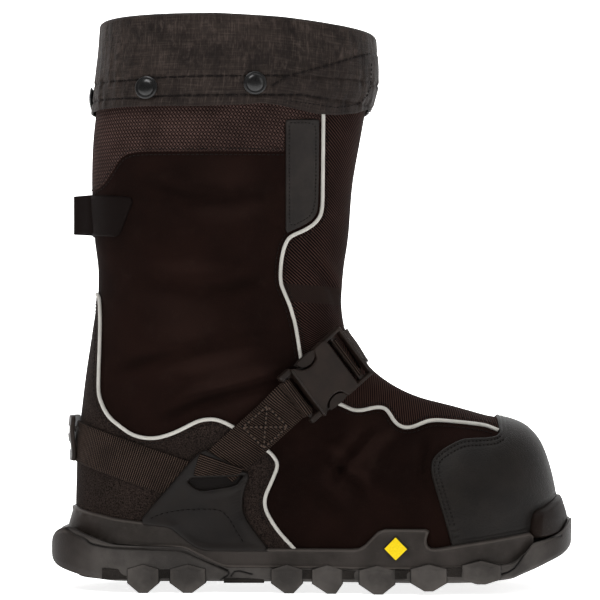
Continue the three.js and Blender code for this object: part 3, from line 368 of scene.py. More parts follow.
def inside_by(xz, outline):
    """Distance in the side view to a closed outline, positive inside, with its direction."""
    start = np.array(outline, float)
    end = np.roll(start, -1, 0)
    distance, away, _, _ = nearest_on(xz, start, end)
    crosses = (start[None, :, 1] > xz[:, None, 1]) != (end[None, :, 1] > xz[:, None, 1])
    rise = np.where(np.abs(end[:, 1] - start[:, 1]) < 1e-9, 1e-9, end[:, 1] - start[:, 1])
    at = start[None, :, 0] + (xz[:, None, 1] - start[None, :, 1]) / rise * (end - start)[None, :, 0]
    inside = (crosses & (xz[:, None, 0] < at)).sum(1) % 2 == 1
    return np.where(inside, distance, -distance), away


def resampled(line, pitch):
    """Points every pitch along an open line in the plane or in space."""
    line = np.array(line, float)
    run = run_along(line)
    count = max(int(round(run[-1] / pitch)), 1)
    at = np.linspace(0, run[-1], count + 1)
    return np.stack([np.interp(at, run, line[:, k]) for k in range(line.shape[1])], -1)


def shifted(line, amount):
    """The open line moved sideways by an amount, to the left of its direction."""
    line = np.array(line, float)
    along = unit(np.gradient(line, axis=0))
    return line + np.stack([-along[:, 1], along[:, 0]], -1) * amount


def run_along(points):
    """Length along a line of points, from its start."""
    return np.concatenate([[0], np.cumsum(np.linalg.norm(np.diff(points, axis=0), axis=1))])


def signed_line(xz, line):
    """Distance to an open line in the side view, positive on its left."""
    line = np.array(line, float)
    distance, away, which, _ = nearest_on(xz, line[:-1], line[1:])
    edge = (line[1:] - line[:-1])[which]
    turn = np.sign(edge[:, 0] * away[:, 1] - edge[:, 1] * away[:, 0])
    return distance * np.where(turn == 0, 1, turn)


def above_line(points, line):
    """How far points lie above a line that is given by heights over X in the side view."""
    line_x, line_z = np.array(line).T
    return points[..., 2] - np.interp(points[..., 0], line_x, line_z)


def bump(value, middle, width):
    """A soft ridge of height 1 round a value."""
    return np.exp(-((value - middle) / width) ** 2)


# The upper's outside as one fine grid that everything else is laid on. Rows follow the sections
# and columns run round the leg from the back over the outer side and the front.
grid_rows, grid_columns = 277, 241
grid_t = np.linspace(0, 4, grid_columns)
base_s = np.linspace(0, len(sections) - 1, grid_rows)[:, None]
probe = np.linspace(0, 2.5, 120)
too_high = above_line(skin(probe[:, None], grid_t), collar)
top_s = np.array([np.interp(0, -too_high[:, j], probe) for j in range(grid_columns)])
settle = 5.0
grid = skin(base_s + top_s * np.clip(1 - base_s / settle, 0, 1), grid_t)


def quads_of(rows, columns):
    i, j = np.meshgrid(np.arange(rows - 1), np.arange(columns - 1), indexing="ij")
    a = (i * columns + j).ravel()
    return np.stack([a, a + columns, a + columns + 1, a + 1], -1)


grid_quads = quads_of(grid_rows, grid_columns)
flat_points = grid.reshape(-1, 3)
_, first_of, weld = np.unique(np.round(flat_points, 3), axis=0, return_index=True, return_inverse=True)
weld = weld.ravel()


def smooth_normals(points):
    """Normals of the grid, the same on both sides of its seams."""
    a, b, c, d = (points[grid_quads[:, k]] for k in range(4))
    face = np.cross(c - a, d - b)
    total = np.zeros((len(first_of), 3))
    for k in range(4):
        np.add.at(total, weld[grid_quads[:, k]], face)
    return unit(total[weld])


grid_normals = smooth_normals(flat_points)

# Folds of the cloth, given one by one: a line in the side view, then how deep the trough is, how
# wide, how high the ridge beside it stands and on which side of the line, and the side of the
# shoe, with -1 outside.
folds = [
    ([(40.0, 104.0), (33.8, 97.7), (27.3, 90.2), (21.5, 83.3), (17.7, 77.6), (15.0, 68.0)],
     1.5, 5.0, 1.3, 1, -1),
    ([(60.0, 100.0), (50.0, 90.0), (43.0, 78.0), (40.0, 64.0)], 0.9, 6.0, 0.8, -1, -1),
    ([(2.0, 92.0), (14.5, 82.6), (24.0, 72.7), (31.5, 65.2), (38.0, 56.0)], 1.3, 5.0, 1.1, 1, -1),
    ([(75.0, 100.0), (72.5, 90.3), (70.5, 80.0), (71.5, 66.0)], 1.4, 4.0, 1.2, 1, -1),
    ([(-8.0, 70.0), (4.0, 64.0), (14.0, 54.0), (20.0, 44.0)], 0.9, 6.0, 0.8, 1, -1),
    ([(-96.0, 110.0), (-71.0, 121.7), (-48.9, 128.0), (-28.1, 133.0), (-7.8, 138.1)], 1.6, 7.0, 1.3, 1, -1),
    ([(-128.0, 140.0), (-100.0, 150.0), (-60.0, 158.0), (-25.0, 168.0)], 1.1, 9.0, 0.9, -1, -1),
    ([(-120.0, 205.0), (-90.0, 196.0), (-55.0, 193.0), (-28.0, 200.0)], 0.9, 10.0, 0.8, 1, -1),
    ([(-5.0, 216.0), (5.0, 205.0), (14.0, 190.0), (17.0, 176.0)], 0.9, 5.0, 0.8, 1, -1),
    ([(-112.0, 262.0), (-80.0, 252.0), (-50.0, 250.0), (-25.0, 256.0)], 0.8, 9.0, 0.7, -1, -1),
    ([(-130.0, 296.0), (-100.0, 290.0), (-70.0, 289.0)], 0.7, 7.0, 0.6, 1, -1),
    ([(44.0, 100.0), (34.0, 90.0), (24.0, 78.0), (20.0, 64.0)], 1.4, 6.0, 1.2, 1, 1),
    ([(4.0, 95.0), (12.0, 80.0), (26.0, 68.0), (36.0, 58.0)], 1.2, 5.0, 1.0, 1, 1),
    ([(75.0, 100.0), (70.5, 88.0), (69.5, 72.0)], 1.2, 4.5, 1.0, 1, 1),
    ([(-100.0, 118.0), (-70.0, 126.0), (-40.0, 132.0), (-10.0, 144.0)], 1.4, 8.0, 1.2, 1, 1),
    ([(-125.0, 150.0), (-90.0, 162.0), (-50.0, 166.0)], 1.0, 9.0, 0.9, -1, 1),
    ([(-115.0, 215.0), (-80.0, 204.0), (-40.0, 206.0)], 0.9, 10.0, 0.8, 1, 1),
    ([(-110.0, 270.0), (-70.0, 262.0), (-30.0, 266.0)], 0.8, 9.0, 0.7, -1, 1),
]
fold_strength = 1.35


def fold_height(points):
    """How far the cloth stands out at each point."""
    height = np.zeros(len(points))
    for line, depth, width, ridge, way, side in folds:
        curve = resampled(rounded(line, 2, closed=False), 3)
        near = np.where((np.abs(points[:, 0] - curve[:, 0].mean()) < 120) & (points[:, 1] * side > -5))[0]
        distance, away, which, share = nearest_on(points[near][:, [0, 2]], curve[:-1], curve[1:])
        edge = np.diff(curve, axis=0)[which]
        turn = np.sign(edge[:, 0] * away[:, 1] - edge[:, 1] * away[:, 0])
        signed = distance * turn * way
        along = (which + share) / (len(curve) - 1)
        taper = np.clip(4 * along * (1 - along), 0, 1) ** 0.7
        trough = -depth * bump(signed, 0, 0.55 * width)
        crest = ridge * bump(signed, 1.15 * width, 0.75 * width)
        far_crest = 0.45 * ridge * bump(signed, -1.3 * width, width)
        height[near] += (trough + crest + far_crest) * taper * smoothstep(0, 12, points[near, 1] * side)
    lumps = (np.sin(points[:, 0] * 0.071 + 1.3 * np.sin(points[:, 2] * 0.043)) * 0.35
             + np.sin(points[:, 2] * 0.058 + 0.6 + points[:, 0] * 0.031) * 0.3)
    height += lumps * smoothstep(60, 110, points[:, 2]) * (1 - smoothstep(290, 320, points[:, 2]))
    return height * fold_strength


def stiff_share(points):
    """1 where stiff pieces lie over the cloth and it stays flat, 0 where it is free."""
    xz = points[:, [0, 2]]
    keep = np.zeros(len(points))
    for outline, reach in ((toe_cap, 6.0), (anchor, 5.0)):
        keep = np.maximum(keep, smoothstep(-reach, 0, inside_by(xz, outline)[0]))
    keep = np.maximum(keep, 1 - smoothstep(38, 50, points[:, 2]))
    return keep


cloth_move = fold_height(flat_points) * (1 - stiff_share(flat_points))
flat_points = flat_points + grid_normals * cloth_move[:, None]
flat_points = flat_points[first_of][weld]
grid_normals = smooth_normals(flat_points)
grid = flat_points.reshape(grid_rows, grid_columns, 3)
grid_xz = flat_points[:, [0, 2]]

# Lengths along the grid both ways, the directions that the weaves follow
middle_column = grid_columns // 2
around = np.linalg.norm(np.diff(grid, axis=1), axis=2)
around = np.concatenate([np.zeros((grid_rows, 1)), np.cumsum(around, axis=1)], 1)
around = around - around[:, middle_column:middle_column + 1]
down = np.linalg.norm(np.diff(grid, axis=0), axis=2)
down = np.concatenate([np.zeros((1, grid_columns)), np.cumsum(down, axis=0)], 0)
grid_uv = np.stack([around.ravel(), down.ravel()], -1) / 1000

tree = BVHTree.FromPolygons(flat_points.tolist(), grid_quads.tolist())


def cast(origin, direction):
    """Where a ray meets the upper, with the smooth normal there."""
    hit, _, index, _ = tree.ray_cast(Vector(origin), Vector(direction))
    if hit is None:
        return None
    corners = grid_quads[index]
    spot = np.array(hit)
    weight = 1 / (np.linalg.norm(flat_points[corners] - spot, axis=1) + 0.05)
    normal = (grid_normals[corners] * weight[:, None]).sum(0)
    return spot, normal / np.linalg.norm(normal)


def on_side(x, z, side=-1):
    """The upper's surface at a side view place."""
    return cast((x, side * 300.0, z), (0, -side, 0))


def laid_line(line, side=-1, lift=0.0, pitch=1.2):
    """A side view line laid on the upper: points, normals."""
    found = [on_side(x, z, side) for x, z in resampled(line, pitch)]
    found = [f for f in found if f is not None]
    points = np.array([f[0] + f[1] * lift for f in found])
    return points, np.array([f[1] for f in found])


# Making objects
def add_piece(name, points, faces, look, replaces=(), uv=None, fields=None):
    """A visible piece from points in millimetres, with values per point for its look."""
    mesh = bpy.data.meshes.new(name)
    mesh.from_pydata((np.asarray(points, float) / 1000).tolist(), [], [list(map(int, f)) for f in faces])
    mesh.validate()
    if uv is not None:
        layer = mesh.uv_layers.new(name="UVMap")
        corner = np.zeros(len(mesh.loops), np.int32)
        mesh.loops.foreach_get("vertex_index", corner)
        layer.data.foreach_set("uv", np.asarray(uv, np.float32)[corner].ravel())
    for key, values in (fields or {}).items():
        attribute = mesh.attributes.new(key, "FLOAT", "POINT")
        attribute.data.foreach_set("value", np.asarray(values, np.float32))
    mesh.materials.append(look)
    obj = bpy.data.objects.new(name, mesh)
    bpy.context.scene.collection.objects.link(obj)
    mesh.shade_smooth()
    mesh.update()
    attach(obj, "root")
    if replaces:
        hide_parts(*replaces)
    return obj


def turn_out(obj):
    """Turns the faces of closed parts outwards."""
    mesh = bmesh.new()
    mesh.from_mesh(obj.data)
    bmesh.ops.recalc_face_normals(mesh, faces=mesh.faces)
    mesh.to_mesh(obj.data)
    mesh.free()


def outward(name, parts, look, replaces=(), sharp=None, fields=None):
    """Joins closed parts and turns their faces outwards; sharp is the angle that stays an edge."""
    points, faces, coords, count = [], [], [], 0
    for part_points, part_faces, part_coords in parts:
        points.append(np.asarray(part_points, float))
        coords.append(np.asarray(part_coords, float))
        faces += [[i + count for i in face] for face in part_faces]
        count += len(part_points)
    obj = add_piece(name, np.concatenate(points), faces, look, replaces, np.concatenate(coords), fields)
    turn_out(obj)
    if sharp:
        obj.data.set_sharp_from_angle(angle=math.radians(sharp))
    return obj


def grid_solid(top, under, coords):
    """A closed slab from two grids of points, each of rows by columns by 3."""
    rows, columns = top.shape[:2]
    count = rows * columns
    faces = quads_of(rows, columns).tolist()
    faces += [[q[3] + count, q[2] + count, q[1] + count, q[0] + count] for q in faces]
    for i in range(rows - 1):
        a, b = i * columns, (i + 1) * columns
        faces.append([a + count, b + count, b, a])
        faces.append([a + columns - 1, b + columns - 1, b + columns - 1 + count, a + columns - 1 + count])
    last = (rows - 1) * columns
    for k in range(columns - 1):
        faces.append([k, k + 1, k + 1 + count, k + count])
        faces.append([last + k + 1, last + k, last + k + count, last + k + 1 + count])
    coords = np.reshape(coords, (-1, 2))
    return np.concatenate([top.reshape(-1, 3), under.reshape(-1, 3)]), faces, np.concatenate([coords, coords])


def ring_faces(rings, sides):
    """Faces of a closed form from rings of points in order, with its two end faces."""
    faces = []
    for i in range(rings - 1):
        for k in range(sides):
            n = (k + 1) % sides
            faces.append([i * sides + k, i * sides + n, (i + 1) * sides + n, (i + 1) * sides + k])
    faces.append(list(reversed(range(sides))))
    faces.append([(rings - 1) * sides + k for k in range(sides)])
    return faces


def circle(sides):
    """Cosine and sine for each side of a round form."""
    return [(math.cos(2 * math.pi * k / sides), math.sin(2 * math.pi * k / sides)) for k in range(sides)]


touch = 1e-7


def split_at(points, normals, values, coords, triangles, level, keep_low):
    """Cuts triangles where values pass a level; what lies below it stays only with keep_low."""
    points, normals, values, coords = list(points), list(normals), list(values), list(coords)
    made = {}

    def between(a, b):
        key = (min(a, b), max(a, b))
        if key not in made:
            share = (level - values[a]) / (values[b] - values[a])
            made[key] = len(points)
            for held in (points, normals, coords):
                held.append(held[a] + (held[b] - held[a]) * share)
            values.append(level)
        return made[key]

    def at_level(k):
        return abs(values[k] - level) < touch

    out = []
    for tri in triangles:
        above = [values[k] >= level - touch for k in tri]
        if all(above):
            out.append(tri)
            continue
        if not any(values[k] > level + touch for k in tri):
            out += [tri] if keep_low else []
            continue
        alone = above.index(sum(above) == 1)
        a, b, c = tri[alone], tri[(alone + 1) % 3], tri[(alone + 2) % 3]
        if above[alone]:
            ab, ac = between(a, b), between(a, c)
            high, low = [(a, ab, ac)], [(ab, b, c), (ab, c, ac)]
        elif at_level(b) or at_level(c):
            middle = between(a, c if at_level(b) else b)
            high, low = [(b, c, middle)], [(a, b, middle) if at_level(b) else (a, middle, c)]
        else:
            ab, ac = between(a, b), between(a, c)
            high, low = [(ab, b, c), (ab, c, ac)], [(a, ab, ac)]
        out += high + (low if keep_low else [])
    return np.array(points), np.array(normals), np.array(values), np.array(coords), out


def welded(points, triangles):
    """The triangles with points at one place made one, and the points that they use."""
    keys = [tuple(key) for key in np.round(points, 4).tolist()]
    first = {}
    joined = [tuple(first.setdefault(keys[k], k) for k in tri) for tri in triangles]
    joined = [tri for tri in joined if len(set(tri)) == 3]
    used = np.unique(np.array(joined))
    index = {int(k): i for i, k in enumerate(used)}
    return used, [tuple(index[k] for k in tri) for tri in joined]


def overlaid(name, value, look, replaces=(), base=clearance, thick=1.2, edge=1.2, shape=None, uv=None):
    """A piece over the upper where value is positive, with a rounded edge and a closed back."""
    uv = grid_uv if uv is None else uv
    quads = grid_quads[value[grid_quads].max(1) > 0]
    triangles = np.concatenate([quads[:, [0, 1, 2]], quads[:, [0, 2, 3]]])
    used, back = np.unique(triangles, return_inverse=True)
    triangles = [tuple(map(int, t)) for t in back.reshape(-1, 3)]
    state = flat_points[used], grid_normals[used], value[used].astype(float), uv[used]
    state = split_at(*state, triangles, 0.0, False)
    for share in (0.08, 0.3, 0.62, 1.0):
        state = split_at(*state, edge * share, True)
    points, normals, values, coords, triangles = state
    used, triangles = welded(points, triangles)
    points, normals, values, coords = points[used], unit(normals[used]), values[used], coords[used]
    start = base(points)[:, None] if callable(base) else base
    round_off = np.sqrt(np.maximum(1 - (1 - np.clip(values / edge, 0, 1)) ** 2, 0))
    height = thick * np.ones(len(points)) if shape is None else shape(values, points)
    top = points + normals * (start + (height * round_off)[:, None])
    under = points + normals * start
    inner = np.where(values > 1e-6)[0]
    lower = np.arange(len(points))
    lower[inner] = np.arange(len(inner)) + len(points)
    faces = triangles + [(lower[c], lower[b], lower[a]) for a, b, c in triangles]
    return add_piece(name, np.concatenate([top, under[inner]]), faces, look, replaces,
                     np.concatenate([coords, coords[inner]]),
                     {"inside": np.concatenate([values, values[inner]])})


# Looks: procedural materials
class Look:
    """A node material; lengths in the texture calls are millimetres."""

    def __init__(self, name, **sockets):
        self.material = bpy.data.materials.new(name)
        self.material.use_nodes = True
        self.tree = self.material.node_tree
        self.shader = self.tree.nodes["Principled BSDF"]
        for key, value in sockets.items():
            self.shader.inputs[key.replace("_", " ")].default_value = value
        self.place = self.tree.nodes.new("ShaderNodeTexCoord").outputs["Object"]
        uv = self.tree.nodes.new("ShaderNodeUVMap")
        uv.uv_map = "UVMap"
        self.uv = uv.outputs["UV"]
        self.normal = None

    def node(self, kind, *inputs, **settings):
        node = self.tree.nodes.new("ShaderNode" + kind)
        for key, value in settings.items():
            setattr(node, key, value)
        for index, value in enumerate(inputs):
            self.put(node.inputs[index], value)
        return node

    def put(self, socket, value):
        if value is None:
            return
        if hasattr(value, "is_linked"):
            self.tree.links.new(value, socket)
        else:
            socket.default_value = value

    def math(self, operation, a, b=None):
        return self.node("Math", a, b, operation=operation).outputs[0]

    def noise(self, size, detail=2.0, roughness=0.55, where=None, stretch=None):
        """Noise, about 0.3 to 0.7, whose largest lumps have a size."""
        where = self.place if where is None else where
        if stretch is not None:
            where = self.node("VectorMath", where, stretch, operation="MULTIPLY").outputs[0]
        node = self.node("TexNoise")
        self.put(node.inputs["Vector"], where)
        node.inputs["Scale"].default_value = 1000 / size
        node.inputs["Detail"].default_value = detail
        node.inputs["Roughness"].default_value = roughness
        return node.outputs["Fac"]

    def cells(self, size):
        node = self.node("TexVoronoi")
        self.put(node.inputs["Vector"], self.place)
        node.inputs["Scale"].default_value = 1000 / size
        return node.outputs["Distance"]

    def field(self, name):
        return self.node("Attribute", attribute_name=name).outputs["Fac"]

    def fit(self, value, low, high, to_low=0.0, to_high=1.0):
        """The value softly stretched so that low and high become to_low and to_high."""
        node = self.node("MapRange", value, low, high, to_low, to_high)
        node.interpolation_type = "SMOOTHSTEP"
        return node.outputs[0]

    def mixed(self, factor, a, b, kind="FLOAT"):
        node = self.node("Mix", data_type=kind)
        for key, value in (("Factor", factor), ("A", a), ("B", b)):
            self.put(node.inputs[key], value)
        return node.outputs["Result"]

    def blend(self, factor, a, b):
        return self.mixed(factor, a, b, "RGBA")

    def stain(self, color, mask, share, paint):
        """The colour with a share of a paint over it where the mask is 1."""
        return self.blend(self.math("MULTIPLY", mask, share), color, paint)

    def rise(self, height, depth, strength=1.0):
        """Adds a bump of a depth to the normal."""
        node = self.tree.nodes.new("ShaderNodeBump")
        node.inputs["Strength"].default_value = strength
        node.inputs["Distance"].default_value = depth / 1000
        self.put(node.inputs["Height"], height)
        if self.normal is not None:
            self.tree.links.new(self.normal, node.inputs["Normal"])
        self.normal = node.outputs["Normal"]

    def along(self, turn, pitch, where=None):
        """A wave, 0 to 1, across lines that stand at an angle in the UV plane, in degrees."""
        parts = self.node("SeparateXYZ", self.uv if where is None else where)
        k = 2000 * math.pi / pitch
        turn = math.radians(turn)
        wave = self.math("SINE", self.turned(parts, math.cos(turn) * k, math.sin(turn) * k))
        return self.math("ADD", self.math("MULTIPLY", wave, 0.5), 0.5)

    def turned(self, parts, first, second):
        """The sum of the first two coordinates, each times its factor."""
        return self.math("ADD", self.math("MULTIPLY", parts.outputs[0], first),
                         self.math("MULTIPLY", parts.outputs[1], second))

    def weave(self, pitch, turn=0.0):
        """Height of a plain weave in the UV plane, turned by degrees."""
        parts = self.node("SeparateXYZ", self.uv)
        c, s = math.cos(math.radians(turn)), math.sin(math.radians(turn))
        k = 1000 * math.pi / pitch
        u, v = self.turned(parts, c * k, s * k), self.turned(parts, -s * k, c * k)
        su, sv = self.math("SINE", u), self.math("SINE", v)
        top = self.math("GREATER_THAN", self.math("MULTIPLY", su, sv), 0)
        warp = self.math("POWER", self.math("ABSOLUTE", su), 0.7)
        weft = self.math("POWER", self.math("ABSOLUTE", sv), 0.7)
        return self.mixed(top, self.math("MULTIPLY", warp, 0.8), weft)

    def finish(self, color, roughness):
        self.put(self.shader.inputs["Base Color"], color)
        self.put(self.shader.inputs["Roughness"], roughness)
        self.tree.links.new(self.normal, self.shader.inputs["Normal"])
        return self.material


def rgb(r, g, b):
    """A display colour, 0 to 255, as linear values."""
    linear = (((c / 255 + 0.055) / 1.055) ** 2.4 if c > 10 else c / 255 / 12.92 for c in (r, g, b))
    return tuple(linear) + (1.0,)


def cloth_look():
    """The upper's cloths, told apart by the panel fields, with painted highlights on the fold ridges and
    painted shade in the fold troughs.
    """
    look = Look("upper_cloths", Specular_IOR_Level=0.02)
    panel, front, toe = look.field("panel"), look.field("front"), look.field("toe")
    band = look.field("band")
    smooth_h = look.weave(0.62)
    rough_h = look.weave(1.6, 45)
    rib = look.along(-57, 1.6)
    fine = look.along(4, 1.45, look.place)
    hatch = look.along(-57, 0.8)
    fold = look.field("fold")
    is_weave = look.math("GREATER_THAN", 0.0, panel)
    is_front = look.math("GREATER_THAN", front, 0.0)
    is_toe = look.math("GREATER_THAN", toe, 0.0)
    is_band = look.math("GREATER_THAN", band, 0.0)
    height = look.mixed(is_weave, look.math("MULTIPLY", smooth_h, 0.35), rough_h)
    height = look.mixed(is_front, height, look.math("MULTIPLY", rib, 0.9))
    height = look.mixed(is_toe, height, look.math("MULTIPLY", fine, 0.6))
    height = look.mixed(is_band, height, look.math("MULTIPLY", hatch, 0.6))
    fuzz = look.noise(0.5, 3, 0.7)
    broad = look.noise(55, 3, 0.6)
    plain = look.blend(look.fit(broad, 0.3, 0.7), rgb(18, 10, 8), rgb(26, 15, 12))
    plain = look.stain(plain, look.fit(fuzz, 0.55, 0.75), 0.5, rgb(54, 38, 32))
    woven = look.blend(look.fit(rough_h, 0.58, 0.92), rgb(4, 2, 2), rgb(86, 67, 62))
    woven = look.stain(woven, look.fit(fuzz, 0.52, 0.7), 0.35, rgb(92, 74, 69))
    cloud = look.fit(look.noise(38, 3, 0.6), 0.35, 0.65)
    woven = look.stain(woven, cloud, 0.45, rgb(14, 9, 8))
    ribbed = look.blend(look.fit(rib, 0.5, 1.0), rgb(5, 2, 2), rgb(66, 48, 43))
    ribbed = look.stain(ribbed, cloud, 0.4, rgb(12, 7, 6))
    lined = look.blend(look.fit(fine, 0.35, 1.0), rgb(10, 5, 4), rgb(58, 41, 36))
    hatched = look.blend(hatch, rgb(20, 14, 12), rgb(42, 32, 29))
    color = look.blend(is_weave, plain, woven)
    color = look.blend(is_front, color, ribbed)
    color = look.blend(is_toe, color, lined)
    color = look.blend(is_band, color, hatched)
    dust = look.math("MULTIPLY", look.fit(look.noise(9, 5, 0.7), 0.52, 0.8), 0.07)
    color = look.blend(dust, color, rgb(70, 58, 52))
    # Painted highlight on the fold ridges and painted shade in the fold troughs, following the fold height
    # field.
    color = look.stain(color, look.fit(fold, 0.2, 2.0), 0.2, rgb(56, 40, 35))
    color = look.stain(color, look.fit(fold, -0.3, -2.0), 0.6, rgb(7, 4, 3))
    look.rise(height, 0.32, 0.8)
    look.rise(fuzz, 0.10, 0.5)
    look.rise(look.noise(14, 3, 0.55), 0.9, 0.35)
    edge = look.fit(look.math("ABSOLUTE", panel), 0.0, 1.4)
    look.rise(edge, 0.5, 0.7)
    return look.finish(color, look.fit(fuzz, 0.2, 0.8, 0.72, 0.95))


def ripstop_look():
    """The cuff's cloth: threads both ways, ripstop lines, crinkles with painted highlights on their crests
    and painted shade in their hollows, and sewn rows darkened partly for their dark thread and partly as
    painted shade in the crease along them.
    """
    look = Look("cuff_ripstop", Specular_IOR_Level=0.1)
    grid_a, grid_b = look.along(0, 4.2), look.along(90, 4.2)
    lines = look.math("MAXIMUM", look.fit(grid_a, 0.93, 1.0), look.fit(grid_b, 0.93, 1.0))
    fine = look.weave(0.5)
    streak = look.noise(0.9, 3, 0.6, where=look.uv, stretch=(1.0, 0.08, 1.0))
    broad = look.noise(40, 4, 0.6)
    patches = look.noise(11, 5, 0.7, where=look.uv, stretch=(1.0, 0.55, 1.0))
    weft = look.noise(0.9, 3, 0.6, where=look.uv, stretch=(0.05, 1.0, 1.0))
    color = look.blend(look.fit(broad, 0.3, 0.7), rgb(31, 25, 22), rgb(46, 38, 34))
    color = look.stain(color, look.fit(streak, 0.48, 0.7), 0.45, rgb(84, 73, 67))
    color = look.stain(color, look.fit(weft, 0.48, 0.7), 0.33, rgb(78, 68, 62))
    color = look.stain(color, look.fit(patches, 0.45, 0.65), 0.7, rgb(17, 12, 11))
    color = look.stain(color, lines, 0.3, rgb(20, 16, 15))
    crinkle = look.noise(5.5, 5, 0.7, where=look.uv, stretch=(1.0, 0.5, 1.0))
    # Painted highlight on the crinkles' crests and painted shade in their hollows, from the same noise that
    # raises them.
    color = look.stain(color, look.fit(crinkle, 0.53, 0.75), 0.45, rgb(88, 77, 71))
    color = look.stain(color, look.fit(crinkle, 0.46, 0.28), 0.6, rgb(12, 9, 8))
    # The sewn rows darkened: partly their dark thread, partly painted shade in the crease along them.
    color = look.stain(color, look.fit(look.field("row"), 0.1, 0.9), 0.75, rgb(8, 5, 5))
    flap = look.fit(look.field("flap"), 0.0, 1.0)
    color = look.stain(color, flap, 0.3, rgb(20, 15, 14))
    look.rise(patches, 2.0, 0.7)
    look.rise(crinkle, 1.4, 0.6)
    look.rise(look.noise(4.5, 4, 0.6, where=look.uv, stretch=(1.0, 0.45, 1.0)), 1.1, 0.5)
    look.rise(look.math("ADD", fine, look.math("MULTIPLY", lines, 0.8)), 0.12, 0.6)
    look.rise(streak, 0.18, 0.5)
    return look.finish(color, look.fit(streak, 0.2, 0.8, 0.5, 0.72))


def rubber_look(name, low, high, rough, grain=0.25, warm=None, rim=False):
    """Rubber between two colours; warm is the colour of its two ends, rim paints a highlight along its edge.
    """
    look = Look(name, Specular_IOR_Level=0.09)
    fine, broad = look.noise(0.9, 4, 0.6), look.noise(30, 4, 0.6)
    color = look.blend(look.fit(broad, 0.3, 0.7), low, high)
    scuff = look.math("MULTIPLY", look.fit(look.noise(3, 6, 0.75, stretch=(0.35, 1, 1)), 0.56, 0.75), 0.22)
    color = look.blend(scuff, color, rgb(84, 77, 72))
    if warm is not None:
        parts = look.node("SeparateXYZ", look.place)
        heel_end = look.fit(parts.outputs[0], -0.125, -0.165)
        toe_end = look.fit(parts.outputs[0], 0.13, 0.168)
        ends = look.math("MAXIMUM", heel_end, toe_end)
        color = look.stain(color, ends, 0.85, warm)
    if rim:
        # A painted highlight along the rounded top edge.
        inside = look.field("inside")
        edge = look.math("MULTIPLY", look.fit(inside, 0.2, 0.8), look.fit(inside, 2.3, 1.3))
        color = look.stain(color, edge, 0.3, rgb(100, 93, 88))
    # Painted shade in the sole's moulded lines and on the rim and sides of the lug faces.
    painted_shade = look.fit(look.field("painted_shade"), 0.0, 1.0)
    color = look.stain(color, painted_shade, 0.9, rgb(8, 6, 6))
    # A painted highlight along the cup's top shoulder and just inside the lug faces' rims.
    painted_highlight = look.fit(look.field("painted_highlight"), 0.0, 1.0)
    color = look.stain(color, painted_highlight, 0.5, rgb(104, 97, 91))
    look.rise(look.cells(0.8), grain, 0.35)
    look.rise(fine, 0.12, 0.6)
    return look.finish(color, look.fit(broad, 0.3, 0.7, rough, rough + 0.12))


def leather_look():
    look = Look("toe_leather", Specular_IOR_Level=0.15)
    pebble = look.cells(1.25)
    fine = look.noise(0.5, 4, 0.65)
    broad = look.noise(24, 4, 0.6)
    color = look.blend(look.fit(broad, 0.3, 0.7), rgb(18, 15, 13), rgb(28, 24, 21))
    color = look.blend(look.fit(pebble, 0.0, 0.45, 0.5, 0.0), color, rgb(14, 13, 12))
    look.rise(look.fit(pebble, 0.0, 0.6), 0.22, 0.6)
    look.rise(fine, 0.1, 0.6)
    look.rise(look.noise(7, 3, 0.6), 0.5, 0.3)
    return look.finish(color, look.fit(fine, 0.2, 0.8, 0.46, 0.66))


def counter_look():
    look = Look("counter_cloth", Specular_IOR_Level=0.03)
    spots = look.noise(0.8, 5, 0.75)
    weave = look.weave(1.1, 20)
    color = look.blend(look.fit(spots, 0.4, 0.6), rgb(7, 5, 4), rgb(52, 43, 39))
    color = look.stain(color, look.fit(look.noise(18, 3), 0.35, 0.7), 0.4, rgb(26, 21, 19))
    look.rise(spots, 0.45, 0.7)
    look.rise(weave, 0.2, 0.4)
    return look.finish(color, look.fit(spots, 0.3, 0.7, 0.75, 0.9))


def plastic_look(name, low, high, rough):
    look = Look(name, Specular_IOR_Level=0.18)
    fine, broad = look.noise(0.35, 3, 0.6), look.noise(15, 4, 0.65)
    color = look.blend(look.fit(broad, 0.3, 0.7), low, high)
    scuff = look.math("MULTIPLY", look.fit(look.noise(3.5, 6, 0.8), 0.6, 0.78), 0.12)
    color = look.blend(scuff, color, rgb(74, 68, 63))
    look.rise(fine, 0.06, 0.7)
    return look.finish(color, look.fit(broad, 0.3, 0.7, rough, rough + 0.1))


def webbing_look():
    look = Look("webbing_ribs", Specular_IOR_Level=0.05)
    rib = look.along(0, 1.4)
    yarn = look.along(90, 1.15)
    fuzz = look.noise(0.45, 3, 0.7)
    lit = look.math("MULTIPLY", look.fit(rib, 0.45, 1.0), look.fit(yarn, 0.0, 0.6, 0.45, 1.0))
    color = look.blend(lit, rgb(6, 4, 3), rgb(80, 65, 57))
    cloud = look.fit(look.noise(22, 3, 0.6), 0.38, 0.62)
    color = look.stain(color, cloud, 0.4, rgb(14, 10, 8))
    color = look.stain(color, look.fit(fuzz, 0.52, 0.72), 0.35, rgb(84, 68, 60))
    look.rise(look.math("ADD", rib, look.math("MULTIPLY", yarn, 0.35)), 0.4, 0.9)
    look.rise(fuzz, 0.08, 0.6)
    return look.finish(color, look.fit(fuzz, 0.3, 0.7, 0.7, 0.9))


def thread_look(name, low, high):
    look = Look(name, Specular_IOR_Level=0.1)
    fuzz = look.noise(0.3, 3, 0.7)
    look.rise(fuzz, 0.08, 0.8)
    return look.finish(look.blend(fuzz, low, high), look.fit(fuzz, 0.3, 0.7, 0.55, 0.8))


